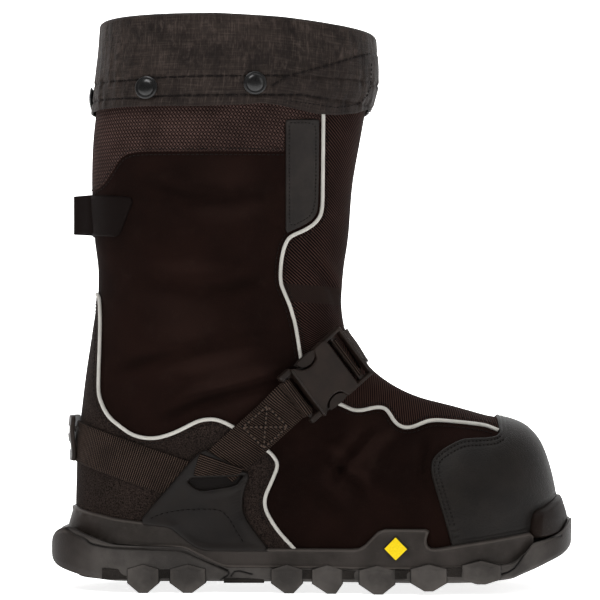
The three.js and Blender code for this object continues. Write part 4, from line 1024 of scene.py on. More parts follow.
def piping_look():
    look = Look("piping_cloth", Specular_IOR_Level=0.4)
    fine = look.noise(0.5, 3, 0.6)
    broad = look.noise(20, 4, 0.6)
    color = look.blend(look.fit(broad, 0.3, 0.7), rgb(168, 165, 158), rgb(190, 187, 180))
    color = look.stain(color, look.fit(fine, 0.5, 0.75), 0.3, rgb(150, 146, 140))
    look.rise(fine, 0.12, 0.8)
    return look.finish(color, look.fit(fine, 0.3, 0.7, 0.5, 0.7))


def metal_look():
    look = Look("snap_lacquer", Specular_IOR_Level=0.4, Coat_Weight=0.2, Coat_Roughness=0.18)
    fine = look.noise(0.4, 3, 0.6)
    rub = look.fit(look.noise(1.8, 5, 0.75), 0.6, 0.8)
    look.rise(fine, 0.03, 0.6)
    color = look.blend(look.math("MULTIPLY", rub, 0.4), rgb(7, 6, 6), rgb(40, 36, 34))
    return look.finish(color, look.fit(fine, 0.3, 0.7, 0.26, 0.36))


def felt_look():
    look = Look("insole_felt", Specular_IOR_Level=0.08)
    fuzz = look.noise(0.8, 5, 0.75)
    color = look.blend(fuzz, rgb(40, 38, 37), rgb(78, 75, 72))
    look.rise(fuzz, 0.3, 0.8)
    look.rise(look.noise(5, 3), 0.4, 0.4)
    return look.finish(color, look.fit(fuzz, 0.3, 0.7, 0.88, 0.98))


def badge_look():
    look = Look("badge_enamel", Specular_IOR_Level=0.2)
    border = look.fit(look.field("inside"), 0.5, 0.75)
    fine = look.noise(0.8, 4, 0.65)
    yellow = look.blend(look.fit(fine, 0.35, 0.7), rgb(232, 200, 0), rgb(246, 216, 2))
    color = look.blend(border, rgb(26, 24, 22), yellow)
    look.rise(border, -0.12, 0.8)
    look.rise(fine, 0.04, 0.5)
    return look.finish(color, look.fit(fine, 0.3, 0.7, 0.38, 0.5))


def tab_look():
    look = Look("tab_cloth", Specular_IOR_Level=0.02)
    weave = look.weave(0.7)
    fuzz = look.noise(0.5, 3, 0.7)
    color = look.blend(look.math("MULTIPLY", weave, 0.7), rgb(7, 5, 5), rgb(30, 23, 21))
    look.rise(weave, 0.2, 0.8)
    look.rise(look.noise(8, 3), 0.5, 0.4)
    return look.finish(color, look.fit(fuzz, 0.3, 0.7, 0.6, 0.8))


cloth = cloth_look()
ripstop = ripstop_look()
sole_rubber = rubber_look("sole_rubber", rgb(51, 48, 46), rgb(77, 73, 70), 0.46, warm=rgb(24, 16, 12))
rand_rubber = rubber_look("rand_rubber", rgb(38, 34, 31), rgb(56, 51, 48), 0.42, 0.18,
                          warm=rgb(38, 29, 24), rim=True)
bumper_rubber = rubber_look("bumper_rubber", rgb(17, 11, 8), rgb(27, 19, 15), 0.55, 0.18)
# Darker rubber for the low blocks: painted shade of the recesses between and behind the lugs.
shaded_tread_rubber = rubber_look("shaded_tread_rubber", rgb(22, 19, 17), rgb(44, 40, 37), 0.65, 1.6)
leather = leather_look()
counter = counter_look()
moulded = plastic_look("moulded_anchor", rgb(14, 10, 8), rgb(23, 18, 15), 0.46)
buckle_black = plastic_look("buckle_plastic", rgb(25, 18, 14), rgb(37, 28, 23), 0.38)
patch_rubber = plastic_look("patch_rubber", rgb(25, 21, 19), rgb(38, 33, 30), 0.5)
webbing = webbing_look()
thread = thread_look("thread_ply", rgb(5, 4, 4), rgb(26, 21, 19))
strap_thread = thread_look("strap_thread", rgb(44, 34, 29), rgb(100, 84, 74))
piping = piping_look()
snap_black = metal_look()
felt = felt_look()
enamel = badge_look()
tab_cloth = tab_look()


# Upper: the fine skin outside, a coarser one inside, joined round the collar and along the sole
def make_upper():
    """The skin with its inside, the fields that tell its cloths apart, and the fold height that places the
    painted highlights and shade on the folds.
    """
    step = 2
    coarse_rows, coarse_columns = (grid_rows - 1) // step + 1, (grid_columns - 1) // step + 1
    pick = (np.arange(coarse_rows)[:, None] * step * grid_columns + np.arange(coarse_columns) * step).ravel()
    inner = flat_points[pick] - grid_normals[pick] * wall
    _, inner_first, inner_index = np.unique(weld[pick], return_index=True, return_inverse=True)
    base = len(first_of)
    points = np.concatenate([flat_points[first_of], inner[inner_first]])
    coarse = quads_of(coarse_rows, coarse_columns)[:, ::-1]
    faces = []

    def put(ids):
        ring = [k for i, k in enumerate(ids) if k != ids[i - 1]]
        if len(set(ring)) >= 3 and len(set(ring)) == len(ring):
            faces.append(ring)

    for quad in weld[grid_quads].tolist():
        put(quad)
    for quad in (inner_index[coarse] + base).tolist():
        put(quad)

    def outer_id(i, j):
        return int(weld[i * grid_columns + j])

    def inner_id(i, j):
        return int(inner_index[i * coarse_columns + j]) + base

    for j in range(coarse_columns - 1):
        fine = [outer_id(0, j * step + k) for k in range(step + 1)]
        put(fine + [inner_id(0, j + 1), inner_id(0, j)])
    def closed_at(i):
        return outer_id(i * step, 0) == outer_id(i * step, grid_columns - 1)

    for edge, fine_edge, order in ((0, 0, 1), (coarse_columns - 1, grid_columns - 1, -1)):
        for i in range(coarse_rows - 1):
            if closed_at(i) and closed_at(i + 1):
                continue
            fine = [outer_id(i * step + k, fine_edge) for k in range(step + 1)]
            put((fine + [inner_id(i + 1, edge), inner_id(i, edge)])[::order])
    xz = points[:, [0, 2]]
    x, z = xz.T
    throat, throat_low, toe_panel_top, patch_top = 141, 120, 158, 298.5
    front = np.where(z > throat, signed_line(xz, pipe_front), -6.0)
    front = np.where((x > -4) & (z <= throat) & (z > throat_low), 3.0, front)
    toe = np.where((x > 12) & (z < toe_panel_top), signed_line(xz, pipe_toe + [(160, 96)]), -5.0)
    toe = np.minimum(toe, toe_panel_top - z)
    weave_top = [(-175, 330), (6.6, 330)]
    weave_low = panel_seam + [(-175, 256)]
    rough_outer = inside_by(xz, weave_top + [(6.5, patch_top), (-17.5, patch_top)] + weave_low)[0]
    rough_inner = inside_by(xz, weave_top + [(6.4, 279)] + weave_low)[0]
    rough = np.where(points[:, 1] < 0, rough_outer, rough_inner)
    band_half, band_middle = 5.6, 189.6 - 0.06 * x
    band = np.minimum(front, band_half - np.abs(z - band_middle))
    coords = np.concatenate([grid_uv[first_of], grid_uv[pick][inner_first]])
    # The fold height, which places the painted highlights and shade on the folds.
    fold = np.concatenate([cloth_move[first_of], np.zeros(len(points) - base)])
    fields = {"panel": -rough, "front": front, "toe": toe, "band": band, "fold": fold}
    for values in fields.values():
        values[base:] = -5
    fields["panel"][base:] = 5
    return add_piece("upper_skin", points, faces, cloth, ["upper"], coords, fields)


upper = make_upper()

# Pieces laid over the upper
both_sides = ((-1, "outer"), (1, "inner"))
outer_side = -flat_points[:, 1]
rim_height = sole_rim((grid_xz[:, 0] + sole_length / 2) / sole_length) * sole_height
rand_outer = inside_by(grid_xz, rounded(rand_line + rand_shield + rand_toe, 1))[0]
rand_inner = inside_by(grid_xz, rounded(rand_line + rand_plain + rand_toe, 1))[0]
rand_value = np.where(outer_side > 0, rand_outer, rand_inner)
bumper_value = inside_by(grid_xz, rounded(bumper, 2))[0]
above_rim = grid_xz[:, 1] - rim_height
over_sole = np.minimum(above_rim + 1.0, 2.0 - rand_value)
over_sole = np.minimum(over_sole, 3.0 - bumper_value)


def cap_shape(values, points):
    """Toe cap: a rolled edge that stands a little proud, and two sunk rows of stitches."""
    lip = 0.45 * bump(values, 1.0, 0.7) + 0.2 * bump(values, 3.6, 0.7)
    rows = bump(values, 2.3, 0.6) + bump(values, 4.9, 0.6)
    return 1.3 + lip - 0.4 * rows


toe_value = inside_by(grid_xz, toe_cap)[0]
overlaid("toe_cap_skin", np.minimum(toe_value, over_sole), leather, ["toe_cap"],
         edge=1.6, shape=cap_shape)
counter_value = inside_by(grid_xz, heel_counter)[0]
overlaid("heel_counter_skin", np.minimum(counter_value, over_sole), counter,
         ["heel_counter"], base=0.2, thick=1.1, edge=1.1)


def rand_shape(values, points):
    """Rand: a lip along its edge and a flare at the heel."""
    flare = 2.6 * smoothstep(-135, -152, points[:, 0]) * smoothstep(52, 41, points[:, 2])
    return 2.9 + flare + 0.55 * bump(values, 1.5, 0.9)


rand_cut = np.minimum(rand_value, above_rim + 0.6)
rand_cut = np.minimum(rand_cut, 1.5 - bumper_value)
overlaid("rand_band", rand_cut, rand_rubber, ["sidewall"],
         edge=1.3, shape=rand_shape)


def bumper_shape(values, points):
    """Bumper: thickest below, thinner towards its top."""
    return 7.9 - 3.6 * smoothstep(44, 61, points[:, 2])


overlaid("toe_bumper_block", np.minimum(bumper_value, above_rim + 1.5), bumper_rubber,
         ["toe_bumper"], edge=2.6, shape=bumper_shape)


def anchor_shape(values, points):
    """Strap anchor: a flat plate with a raised rim."""
    return 2.7 + 0.45 * bump(values, 2.4, 2.2)


anchor_value = inside_by(grid_xz, rounded(anchor, 1))[0]
slot_value = inside_by(grid_xz, rounded(anchor_slot, 2))[0]
anchor_value = np.minimum(np.minimum(anchor_value, -slot_value), 2.4 - rand_value)
for side, name in both_sides:
    one_side = np.minimum(anchor_value, flat_points[:, 1] * side)
    overlaid("anchor_" + name + "_plate", one_side, moulded, ["anchor_" + name],
             base=over_overlay - 0.2, shape=anchor_shape)

patch_value = np.minimum(inside_by(grid_xz, shaft_patch)[0], outer_side)
overlaid("shaft_patch_plain", patch_value, patch_rubber, base=0.15, edge=0.7,
         shape=lambda v, p: 0.9 - 0.35 * bump(v, 2.2, 0.6))


def make_badge():
    """A plain diamond laid on the shield, with the distance to its edge for its dark border."""
    count = 21
    under_lift, edge_lift, top_lift = 3.2, 4.35, 4.7
    bx, bz = badge_spot
    top, under, inside = np.zeros((count, count, 3)), np.zeros((count, count, 3)), np.zeros((count, count))
    for i, a in enumerate(np.linspace(-1, 1, count)):
        for k, b in enumerate(np.linspace(-1, 1, count)):
            spot, normal = on_side(bx + (a + b) / 2 * badge_half, bz + (a - b) / 2 * badge_half)
            rim = max(abs(a), abs(b))
            top[i, k] = spot + normal * (edge_lift if rim > 0.99 else top_lift)
            under[i, k] = spot + normal * under_lift
            inside[i, k] = (1 - rim) * badge_half / math.sqrt(2)
    outward("badge_plain", [grid_solid(top, under, np.zeros((count, count, 2)))], enamel,
            ["badge"], fields={"inside": np.tile(inside.ravel(), 2)})


make_badge()


# Straps
def belt(centre, along, width, offset, low, high, limit):
    """A strap round the upper in a plane through centre. It spans the angles low to high about
    the direction along, towards +Y, where limit allows, and lies offset above the upper."""
    out = np.array([0.0, 1.0, 0.0])
    across = np.cross(out, along)
    start, half, bevel, edge_columns = 320, width / 2, 0.6, (0, 12)

    def at(angle, shift):
        way = math.cos(angle) * along + math.sin(angle) * out
        return cast(centre + across * shift + way * start, -way)

    hits = [(angle, at(angle, 0.0)) for angle in np.radians(np.arange(low, high + 0.25, 0.5))]
    hits = [(angle, hit[0]) for angle, hit in hits if hit is not None and limit(hit[0])]
    run = run_along(np.array([spot for _, spot in hits]))
    count = max(int(run[-1]), 4)
    places = np.linspace(0, run[-1], count + 1)
    shifts = np.concatenate([[-half], np.linspace(bevel - half, half - bevel, edge_columns[1] - 1), [half]])
    size = (count + 1, len(shifts), 3)
    top, under = np.zeros(size), np.zeros(size)
    for i, angle in enumerate(np.interp(places, run, [angle for angle, _ in hits])):
        for k, shift in enumerate(shifts):
            spot, normal = at(angle, shift) or at(angle, shift * 0.8) or at(angle, 0)
            lift = offset(spot) if callable(offset) else offset
            thin = k in edge_columns
            top[i, k] = spot + normal * (lift + web_thick * (0.62 if thin else 1.0))
            under[i, k] = spot + normal * (lift + web_thick * (0.3 if thin else 0.0))
    for side in (top, under):
        for _ in range(6):
            side[1:-1] = (side[:-2] + side[1:-1] + side[2:]) / 3
    coords = np.stack(np.broadcast_arrays(places[:, None], shifts), -1) / 1000
    return grid_solid(top, under, coords)


def sloped(degrees):
    """A direction in the side view, up from +X."""
    return np.array([math.cos(math.radians(degrees)), 0.0, math.sin(math.radians(degrees))])


strap_middle = np.array([heel_x + 0.522 * foot_length - 2.4, 0.0, 0.923 * instep_height + 2.7])
strap_way = sloped(42.8)
strap_centre = strap_middle - strap_way * 14
instep_centre = strap_centre + np.array([1.8, 0.0, -2.0])
heel_centre = np.array([-112.0, 0.0, 82.0])
buckle_half = 25.0


def strap_run(spot):
    return float(np.dot(np.array(spot) - strap_middle, strap_way))


def instep_lift(spot):
    """Close on the cloth in front, over the counter and the anchor on the inner side."""
    return 0.35 + (over_overlay - 0.35) * float(smoothstep(-30, -62, strap_run(spot)))


front_layers = [
    belt(strap_centre, strap_way, web_width, over_overlay, -165, -40,
         lambda p: -93 < strap_run(p) < -buckle_half + 3),
    belt(strap_centre, strap_way, web_width - 0.6, over_overlay + web_thick + 0.1, -165, -40,
         lambda p: -66 < strap_run(p) < -buckle_half + 1),
]
outward("front_strap_web", front_layers, webbing, ["front_strap"])
instep_layer = belt(instep_centre, strap_way, web_width, instep_lift, -70, 165,
                    lambda p: strap_run(p) > (19.5 if p[1] < 0 else -95))
outward("instep_strap_web", [instep_layer], webbing, ["instep_strap"])
heel_layer = belt(heel_centre, sloped(180 - 18.9), web_width - 0.6, over_overlay, -150, 150,
                  lambda p: p[0] < -79)
outward("heel_strap_web", [heel_layer], webbing, ["heel_strap"])
bar_web = [(-71.5, 89.3), (-43.4, 78.9), (-46.4, 74.6), (-75.6, 74.4)]
bar_uv = np.stack([grid_xz @ np.array([0.35, 0.94]), grid_xz @ np.array([0.94, -0.35])], -1) / 1000
for side, name in both_sides:
    # A near-black sheet inside each anchor slot: painted shade of the slot's depth.
    hollow = np.minimum(inside_by(grid_xz, anchor_slot)[0] + 1.5, flat_points[:, 1] * side)
    overlaid("slot_shade_sheet_" + name, hollow, thread, base=over_overlay - 0.3, thick=0.5, edge=0.5)
    value = np.minimum(inside_by(grid_xz, bar_web)[0], flat_points[:, 1] * side)
    overlaid("bar_web_" + name, value, webbing, base=over_overlay + 2.6, thick=web_thick, edge=0.9,
             uv=bar_uv)


# Ladder slide at the back of the heel strap
slider_mid, slider_half_z, slider_half_y = 0.645 * instep_height, 14.5, 15.6
back_yz = flat_points[:, [1, 2]] - np.array([0, slider_mid])


def box_value(yz, height, half_y, half_z, corner):
    """How far points lie inside a box with round corners, seen from behind."""
    away = np.abs(yz - np.array([0, height])) - np.array([half_y - corner, half_z - corner])
    outside = np.linalg.norm(np.maximum(away, 0), axis=1)
    return corner - outside - np.minimum(away.max(1), 0)


slide = box_value(back_yz, 0, slider_half_y, slider_half_z, 3)
for slot_height in (-5, 5):
    slide = np.minimum(slide, -box_value(back_yz, slot_height, web_width / 2 - 1.0, 2.0, 0.8))
slide = np.where(flat_points[:, 0] < -120, slide, -5)
overlaid("heel_slide", slide, buckle_black, ["heel_slider"],
         base=lambda p: over_overlay + web_thick + 0.4 + 2.6 * smoothstep(86, 104, p[:, 2]),
         thick=2.6, edge=0.8)


# Tubes and stitches
def tube(points, normals, radius, sides=10):
    along = unit(np.gradient(points, axis=0))
    across = unit(np.cross(along, normals))
    up = np.cross(across, along)
    rings = np.stack([points + (across * c + up * s) * radius for c, s in circle(sides)], 1)
    round_way = np.tile(np.arange(sides) * radius, len(points))
    coords = np.stack([np.repeat(run_along(points), sides), round_way], -1)
    return rings.reshape(-1, 3), ring_faces(len(points), sides), coords / 1000


def stitch(start, end, normal, radius):
    """A thread from start to end that rises between them and dips into the cloth at both."""
    along = unit(end - start)
    across = unit(np.cross(along, normal))
    up = np.cross(across, along)
    sides = 6
    rings = ((0.12, 0.75), (0.5, 1.0), (0.88, 0.75))
    points = [start - normal * radius * 0.5]
    for share, size in rings:
        middle = start + (end - start) * share + normal * radius * 0.7 * math.sin(math.pi * share)
        points += [middle + (across * c + up * s) * radius * size for c, s in circle(sides)]
    points.append(end - normal * radius * 0.5)
    faces = []
    for k in range(sides):
        n = (k + 1) % sides
        faces.append([0, 1 + n, 1 + k])
        for r in range(len(rings) - 1):
            a, b = 1 + r * sides, 1 + (r + 1) * sides
            faces.append([a + k, a + n, b + n, b + k])
        last = 1 + (len(rings) - 1) * sides
        faces.append([len(points) - 1, last + k, last + n])
    return np.array(points), faces, np.zeros((len(points), 2))


def stitch_run(points, normals, pitch, radius, keep=None):
    """Stitches a pitch apart along a line of points, each two thirds of the pitch long."""
    run = run_along(points)
    values = np.hstack([points, normals])

    def at(place):
        here = np.array([np.interp(place, run, column) for column in values.T])
        return here[:3], unit(here[3:])

    parts = []
    for place in np.arange(0.5, run[-1] - pitch, pitch):
        start, normal = at(place)
        if keep is None or keep(start):
            parts.append(stitch(start, at(place + pitch * 0.68)[0], normal, radius))
    return parts


both = (-1, 1)


def seam(line, lift, pitch=3.0, radius=0.33, keep=None, shoe_sides=both):
    """Stitches along a side view line, laid on the upper."""
    parts = []
    for side in shoe_sides:
        points, normals = laid_line(resampled(rounded(line, 2, closed=False), 1.0), side, lift, pitch=1.0)
        parts += stitch_run(points, normals, pitch, radius, keep)
    return parts


pipe_radius = 1.22
piping_parts = []
for side in both:
    for line, lift in ((pipe_front, 0.7), (pipe_toe, 0.7), (pipe_heel[1:], 1.0)):
        smooth_line = resampled(rounded(line, 2, closed=False), 1.2)
        piping_parts.append(tube(*laid_line(smooth_line, side, lift), pipe_radius))
outward("piping_cord", piping_parts, piping)

stitches = []
cap_line = [p for p in toe_cap_edge if 38 < p[1] < 101]
for inset in (2.3, 4.9):
    stitches += seam(shifted(cap_line, inset), 1.4, 2.5, 0.42)
stitches += seam(shifted(pipe_heel[1:], -3.2), 1.35, keep=lambda p: p[2] > 42)
for amount in (2.0, -1.6):
    stitches += seam(shifted(panel_seam, amount), 0.25)
stitches += seam(anchor_arch, 4.45, 3.4, 0.38)
stitches += seam(patch_seam, 0.8, 2.4, 0.36, shoe_sides=(-1,))
for amount in (3.2, -3.2):
    stitches += seam(shifted(pipe_front[1:], amount), 0.25, keep=lambda p: 150 < p[2] < 302)
    stitches += seam(shifted(pipe_toe, amount), 0.25, keep=lambda p: p[0] < 117)


# Cuff
def cuff_seam_z(x, row):
    """Height of one of the two sewn rows along the cuff."""
    return np.interp(x, *np.array(cuff_seams[row]).T)


def make_cuff():
    """Hem, outer band, fold and lining in one closed strip of two layers round the collar."""
    columns, outer_rows, fold_rows, lining_rows = 480, 64, 9, 8
    outside, inside, thickness, lining_depth = 2.9, -3.4, 1.1, 24
    t = np.linspace(0, 4, columns + 1)[:-1]
    run_round = t * 75.0
    probe_s = np.linspace(0, 4.2, 420)
    probe_points = skin(probe_s[:, None], t)

    def reach(line, drop=0):
        """Where each column passes a line, or lies a drop below it, as a section place."""
        above = above_line(probe_points, line) + drop
        return np.array([np.interp(0, -above[:, j], probe_s) for j in range(columns)])

    hem_s, top_s, lining_s = reach(hem), reach(collar), reach(collar, lining_depth)

    def frame_at(s):
        """Points of the upper and normals that lean outwards, not up."""
        du = skin(s, t + 0.01) - skin(s, t - 0.01)
        ds = skin(s + 0.02, t) - skin(s - 0.02, t)
        normal = unit(np.cross(ds, du))
        normal[:, 2] *= 0.3
        return skin(s, t), unit(normal)

    def outer_band(share, thin):
        here, normal = frame_at(hem_s + (top_s - hem_s) * share)
        x, z = here[:, 0], here[:, 2]
        from_rows = [z - cuff_seam_z(x, row) for row in (0, 1)]
        wave = (0.55 * np.sin(t * 9 + z * 0.05) + 0.4 * np.sin(t * 17 + 1 + z * 0.11)
                + 0.25 * np.sin(t * 31 + z * 0.2))
        pucker = (0.34 * np.sin(run_round * 0.83 + 1.1 * np.sin(run_round * 0.21))
                  + 0.22 * np.sin(run_round * 1.37 + z * 0.16))
        pucker = pucker * (0.35 + sum(bump(row, 0, 3.4) for row in from_rows))
        billow = 0.9 * np.sin(np.pi * share) + 0.55 * wave * np.sin(np.pi * min(share * 1.15, 1.0)) ** 0.5
        diagonal = np.interp(x, *np.array(cuff_diagonal).T)
        over = smoothstep(-1.2, 0.4, diagonal - z) * smoothstep(-30, -18, x) * (t > 0.3) * (t < 2)
        crease = sum(bump(row, 0, 1.1) for row in from_rows)
        lift = outside - thin + pucker + billow + 0.7 * over - 0.9 * crease + 0.5 * (1 - share) ** 4
        return here + normal * lift[:, None]

    def fold_over(share, thin):
        here, normal = frame_at(top_s)
        radius, middle = (outside - inside) / 2 - thin, (outside + inside) / 2
        up = np.array([0, 0, 0.95 * radius * math.sin(math.pi * share)])
        return here + normal * (middle + radius * math.cos(math.pi * share)) + up

    def lining(share, thin):
        here, normal = frame_at(top_s + (lining_s - top_s) * share)
        return here + normal * (inside + thin)

    profile = [(outer_band, k / (outer_rows - 1)) for k in range(outer_rows)]
    profile += [(fold_over, k / fold_rows) for k in range(1, fold_rows)]
    profile += [(lining, k / (lining_rows - 1)) for k in range(lining_rows)]
    layers = np.array([[row(share, thin) for row, share in profile] for thin in (0.0, thickness)])
    count = len(profile)
    half = count * columns
    faces = []
    for i in range(count - 1):
        for j in range(columns):
            n = (j + 1) % columns
            a, b, c, d = i * columns + j, (i + 1) * columns + j, (i + 1) * columns + n, i * columns + n
            faces.append([a, d, c, b])
            faces.append([a + half, b + half, c + half, d + half])
    last = (count - 1) * columns
    for j in range(columns):
        n = (j + 1) % columns
        faces.append([j, j + half, n + half, n])
        faces.append([last + j, last + n, last + n + half, last + j + half])
    hem_ring, front_column = layers[0, 0], layers[0, :, 140]
    round_run, height_run = run_along(hem_ring), run_along(front_column)
    coords = np.stack([np.tile(round_run, count), np.repeat(height_run, columns)], -1) / 1000
    points = layers.reshape(-1, 3)
    x, y, z = points.T
    flap = np.where((y < 0) & (x > -26), -signed_line(points[:, [0, 2]], cuff_diagonal), -9)
    # The sewn rows, for their dark thread and for the painted shade in the crease along them.
    sewn = sum(bump(z, cuff_seam_z(x, row), 1.0) * (x < end) for row, end in enumerate((-14, 10)))
    sewn = sewn + bump(flap, 0, 0.9) + 0.5 * bump(flap, 1.6, 0.7)
    turns = np.tile(run_round, 2 * count)
    sewn = sewn * (0.62 + 0.38 * np.sin(turns * 2.1 + 0.6 * np.sin(turns * 0.37)))
    sewn[half:] = 0
    obj = add_piece("cuff_sheet", points, faces, ripstop, ["cuff"],
                    np.concatenate([coords, coords]), {"flap": flap, "row": sewn})
    turn_out(obj)
    return obj


cuff = make_cuff()
cuff_tree = BVHTree.FromPolygons([tuple(v.co * 1000) for v in cuff.data.vertices],
                                 [tuple(p.vertices) for p in cuff.data.polygons])


def on_cuff(x, z, side):
    """The cuff's surface at a side view place."""
    hit, normal, _, _ = cuff_tree.ray_cast(Vector((x, side * 300.0, z)), Vector((0, -side, 0)))
    if hit is None:
        return None
    normal = np.array(normal)
    return np.array(hit), normal if normal[1] * side > 0 else -normal


def cuff_seam(line, side):
    """Stitches along a side view line, laid on the cuff."""
    spots = [on_cuff(x, z, side) for x, z in resampled(line, 1.0)]
    spots = [s for s in spots if s is not None]
    points = np.array([spot + normal * 0.12 for spot, normal in spots])
    return stitch_run(points, np.array([normal for _, normal in spots]), 3.0, 0.34)


for side in both:
    for row, end in enumerate((-16, 8)):
        stitches += cuff_seam([(x, float(cuff_seam_z(x, row))) for x in np.linspace(-128, end, 60)], side)
    stitches += cuff_seam(cuff_flap_seam, side)
stitches += cuff_seam(cuff_diagonal_seam, -1)

# The cross-stitched box that holds the end of the front strap
on_top = over_overlay + 2 * web_thick
box_corners = [(-62.0, -9.4), (-42.0, -9.4), (-42.0, 9.4), (-62.0, 9.4)]
box_lines = [(0, 1), (1, 2), (2, 3), (3, 0), (0, 2), (1, 3)]


def on_strap(place, lift):
    """A point above the outer strap from its run along and its shift across, with its normal."""
    run, shift = place
    x = strap_middle[0] + strap_way[0] * run - strap_way[2] * shift
    z = strap_middle[2] + strap_way[2] * run + strap_way[0] * shift
    spot, normal = on_side(x, z)
    return spot + normal * lift, normal


strap_stitches = []
for a, b in box_lines:
    ends = resampled([box_corners[a], box_corners[b]], 3.0)
    for start, end in zip(ends[:-1], ends[1:]):
        reach = (end - start) * 0.7
        (first, normal), (second, _) = on_strap(start, on_top + 0.35), on_strap(start + reach, on_top + 0.35)
        strap_stitches.append(stitch(first, second, normal, 0.62))
        # A short near-black thread at each needle hole: painted shade of the hole.
        hole, _ = on_strap(start - reach * 0.21, on_top + 0.15)
        stitches.append(stitch(hole - strap_way * 0.6, hole + strap_way * 0.6, normal, 0.75))
outward("stitching", stitches, thread)
outward("strap_stitching", strap_stitches, strap_thread)


# Snaps: caps turned from radius and height
snap_profile = [
    (5.6, -0.6), (5.8, 0.4), (7.0, 0.55), (7.25, 0.9), (7.25, 1.35), (7.0, 1.7), (6.5, 1.9), (5.6, 1.95),
    (5.3, 1.8), (5.0, 2.0), (4.4, 2.35), (3.2, 2.65), (1.8, 2.8), (0.6, 2.85), (0.05, 2.86),
]


def snap_cap(name, spot, normal, along, sides=40):
    """A snap cap on the cuff; along is a direction in its plane."""
    up = unit(np.array(normal, float))
    across = unit(along - up * np.dot(along, up))
    third = np.cross(up, across)
    points = [spot + radius * (c * across + s * third) + height * up
              for radius, height in snap_profile for c, s in circle(sides)]
    cap = points, ring_faces(len(snap_profile), sides), np.zeros((len(points), 2))
    outward("snap_cap_" + name, [cap], snap_black, ["snap_" + name])


for side, side_name in both_sides:
    for place, x, z in (("back", -104.3, 319.0), ("front", -35.9, 321.0)):
        spot, normal = on_cuff(x, z, side)
        snap_cap(side_name + "_" + place, spot, normal, np.array([1.0, 0.0, 0.0]))
hit = cuff_tree.ray_cast(Vector((-400.0, 0.0, 318.6)), Vector((1, 0, 0)))[0]
snap_cap("back", np.array(hit), (-1, 0, 0), np.array([0.0, 1.0, 0.0]))


# Plates: flat shapes with rounded edges, for the buckle
def offset_inward(outline, amount):
    before, after = np.roll(outline, 1, 0), np.roll(outline, -1, 0)
    a, b = unit(outline - before), unit(after - outline)
    na, nb = np.stack([-a[:, 1], a[:, 0]], -1), np.stack([-b[:, 1], b[:, 0]], -1)
    middle = unit(na + nb)
    size = amount / np.maximum((middle * na).sum(1), 0.5)
    return outline + middle * size[:, None]


def plate(outline, low, high, bevel=0.7, corner=1):
    """A closed plate with rounded edges; the outline runs anticlockwise."""
    outline = rounded(outline, corner) if corner else np.array(outline, float)
    rings = []
    for inset, height in ((bevel, low), (bevel * 0.3, low + bevel * 0.3), (0, low + bevel),
                          (0, high - bevel), (bevel * 0.3, high - bevel * 0.3), (bevel, high)):
        flat = offset_inward(outline, inset) if inset else outline
        rings.append(np.column_stack([flat, np.full(len(flat), height)]))
    points = np.concatenate(rings)
    return points, ring_faces(len(rings), len(outline)), points[:, :2] / 1000


def bar(x0, x1, y0, y1, low, high, bevel=0.6):
    """A straight bar with cut corners."""
    corner = min(x1 - x0, y1 - y0) * 0.2
    outline = [(x0 + corner, y0), (x1 - corner, y0), (x1, y0 + corner), (x1, y1 - corner),
               (x1 - corner, y1), (x0 + corner, y1), (x0, y1 - corner), (x0, y0 + corner)]
    return plate(outline, low, high, bevel, 0)


# Buckle, drawn flat: X runs along the strap towards the instep, Y across it, and Z stands off it
buckle_spot, buckle_normal = on_side(strap_middle[0], strap_middle[2])
flat_way = sloped(41.5)
buckle_along = unit(flat_way - np.array([0, np.dot(flat_way, buckle_normal) / buckle_normal[1], 0]))
buckle_across = np.cross(buckle_normal, buckle_along)
buckle_lift = 1.0


def on_buckle(points):
    """Flat places laid on the strap, stretched to the buckle's size from its far bar."""
    points = np.column_stack([23.6 - (23.8 - points[:, 0]) * 1.15, points[:, 1] * 1.055 - 2.4, points[:, 2]])
    return (buckle_spot + buckle_normal * buckle_lift + points[:, :1] * buckle_along
            + points[:, 1:2] * buckle_across + points[:, 2:3] * buckle_normal)


def laid(parts):
    return [(on_buckle(p), f, uv) for p, f, uv in parts]


def mirrored(outline):
    """A closed outline from its half at positive Y, run from the front end to the back."""
    return outline + [(x, -y) for x, y in reversed(outline)]


notch = [(2.7, 17.2), (1.7, 14.0), (0.2, 12.0), (-3.9, 10.9), (-8.2, 11.7), (-11.4, 13.8), (-12.9, 16.4)]
body_edge = [(12.0, 16.2), (11.2, 18.0), (3.6, 18.0)] + notch + [(-15.0, 17.9), (-15.8, 17.2)]
shell = [plate(mirrored(body_edge), 0.4, 8.0, 0.8, 1)]
for side in (-1, 1):
    low, high = (15.9, 18.0) if side > 0 else (-18.0, -15.9)
    shell.append(bar(10.5, 23.6, low, high, 0.4, 7.7, 0.7))
shell.append(bar(14.9, 18.2, -16.5, 16.5, 2.0, 5.6, 0.9))
shell.append(bar(21.7, 23.8, -17.4, 17.4, 0.8, 7.4, 0.8))
outward("buckle_shell_block", laid(shell), buckle_black, ["buckle_shell"], sharp=12)
prongs = []
for side in (-1, 1):
    tip = [(1.6, 16.9), (-9.0, 16.9), (-8.4, 15.4), (-6.5, 13.9), (-3.7, 13.3), (-1.0, 14.0), (0.9, 15.6)]
    arm = [(-20.6, 14.0), (-2.0, 11.0), (-2.0, 13.6), (-16.0, 15.8), (-20.6, 16.6)]
    if side < 0:
        tip, arm = [(x, -y) for x, y in reversed(tip)], [(x, -y) for x, y in reversed(arm)]
    prongs.append(plate(tip[::-1], 1.6, 6.6, 1.2, 1))
    prongs.append(plate(arm, 1.0, 3.0, 0.5, 1))
    low, high = (15.4, 19.0) if side > 0 else (-16.6, -13.0)
    prongs.append(bar(-23.2, -15.0, low, high, 1.0, 6.2, 0.9))
prongs.append(bar(-22.0, -19.4, -14.0, 16.0, 1.6, 4.4, 0.8))
outward("buckle_prong_half", laid(prongs), buckle_black, ["buckle_prongs"], sharp=12)


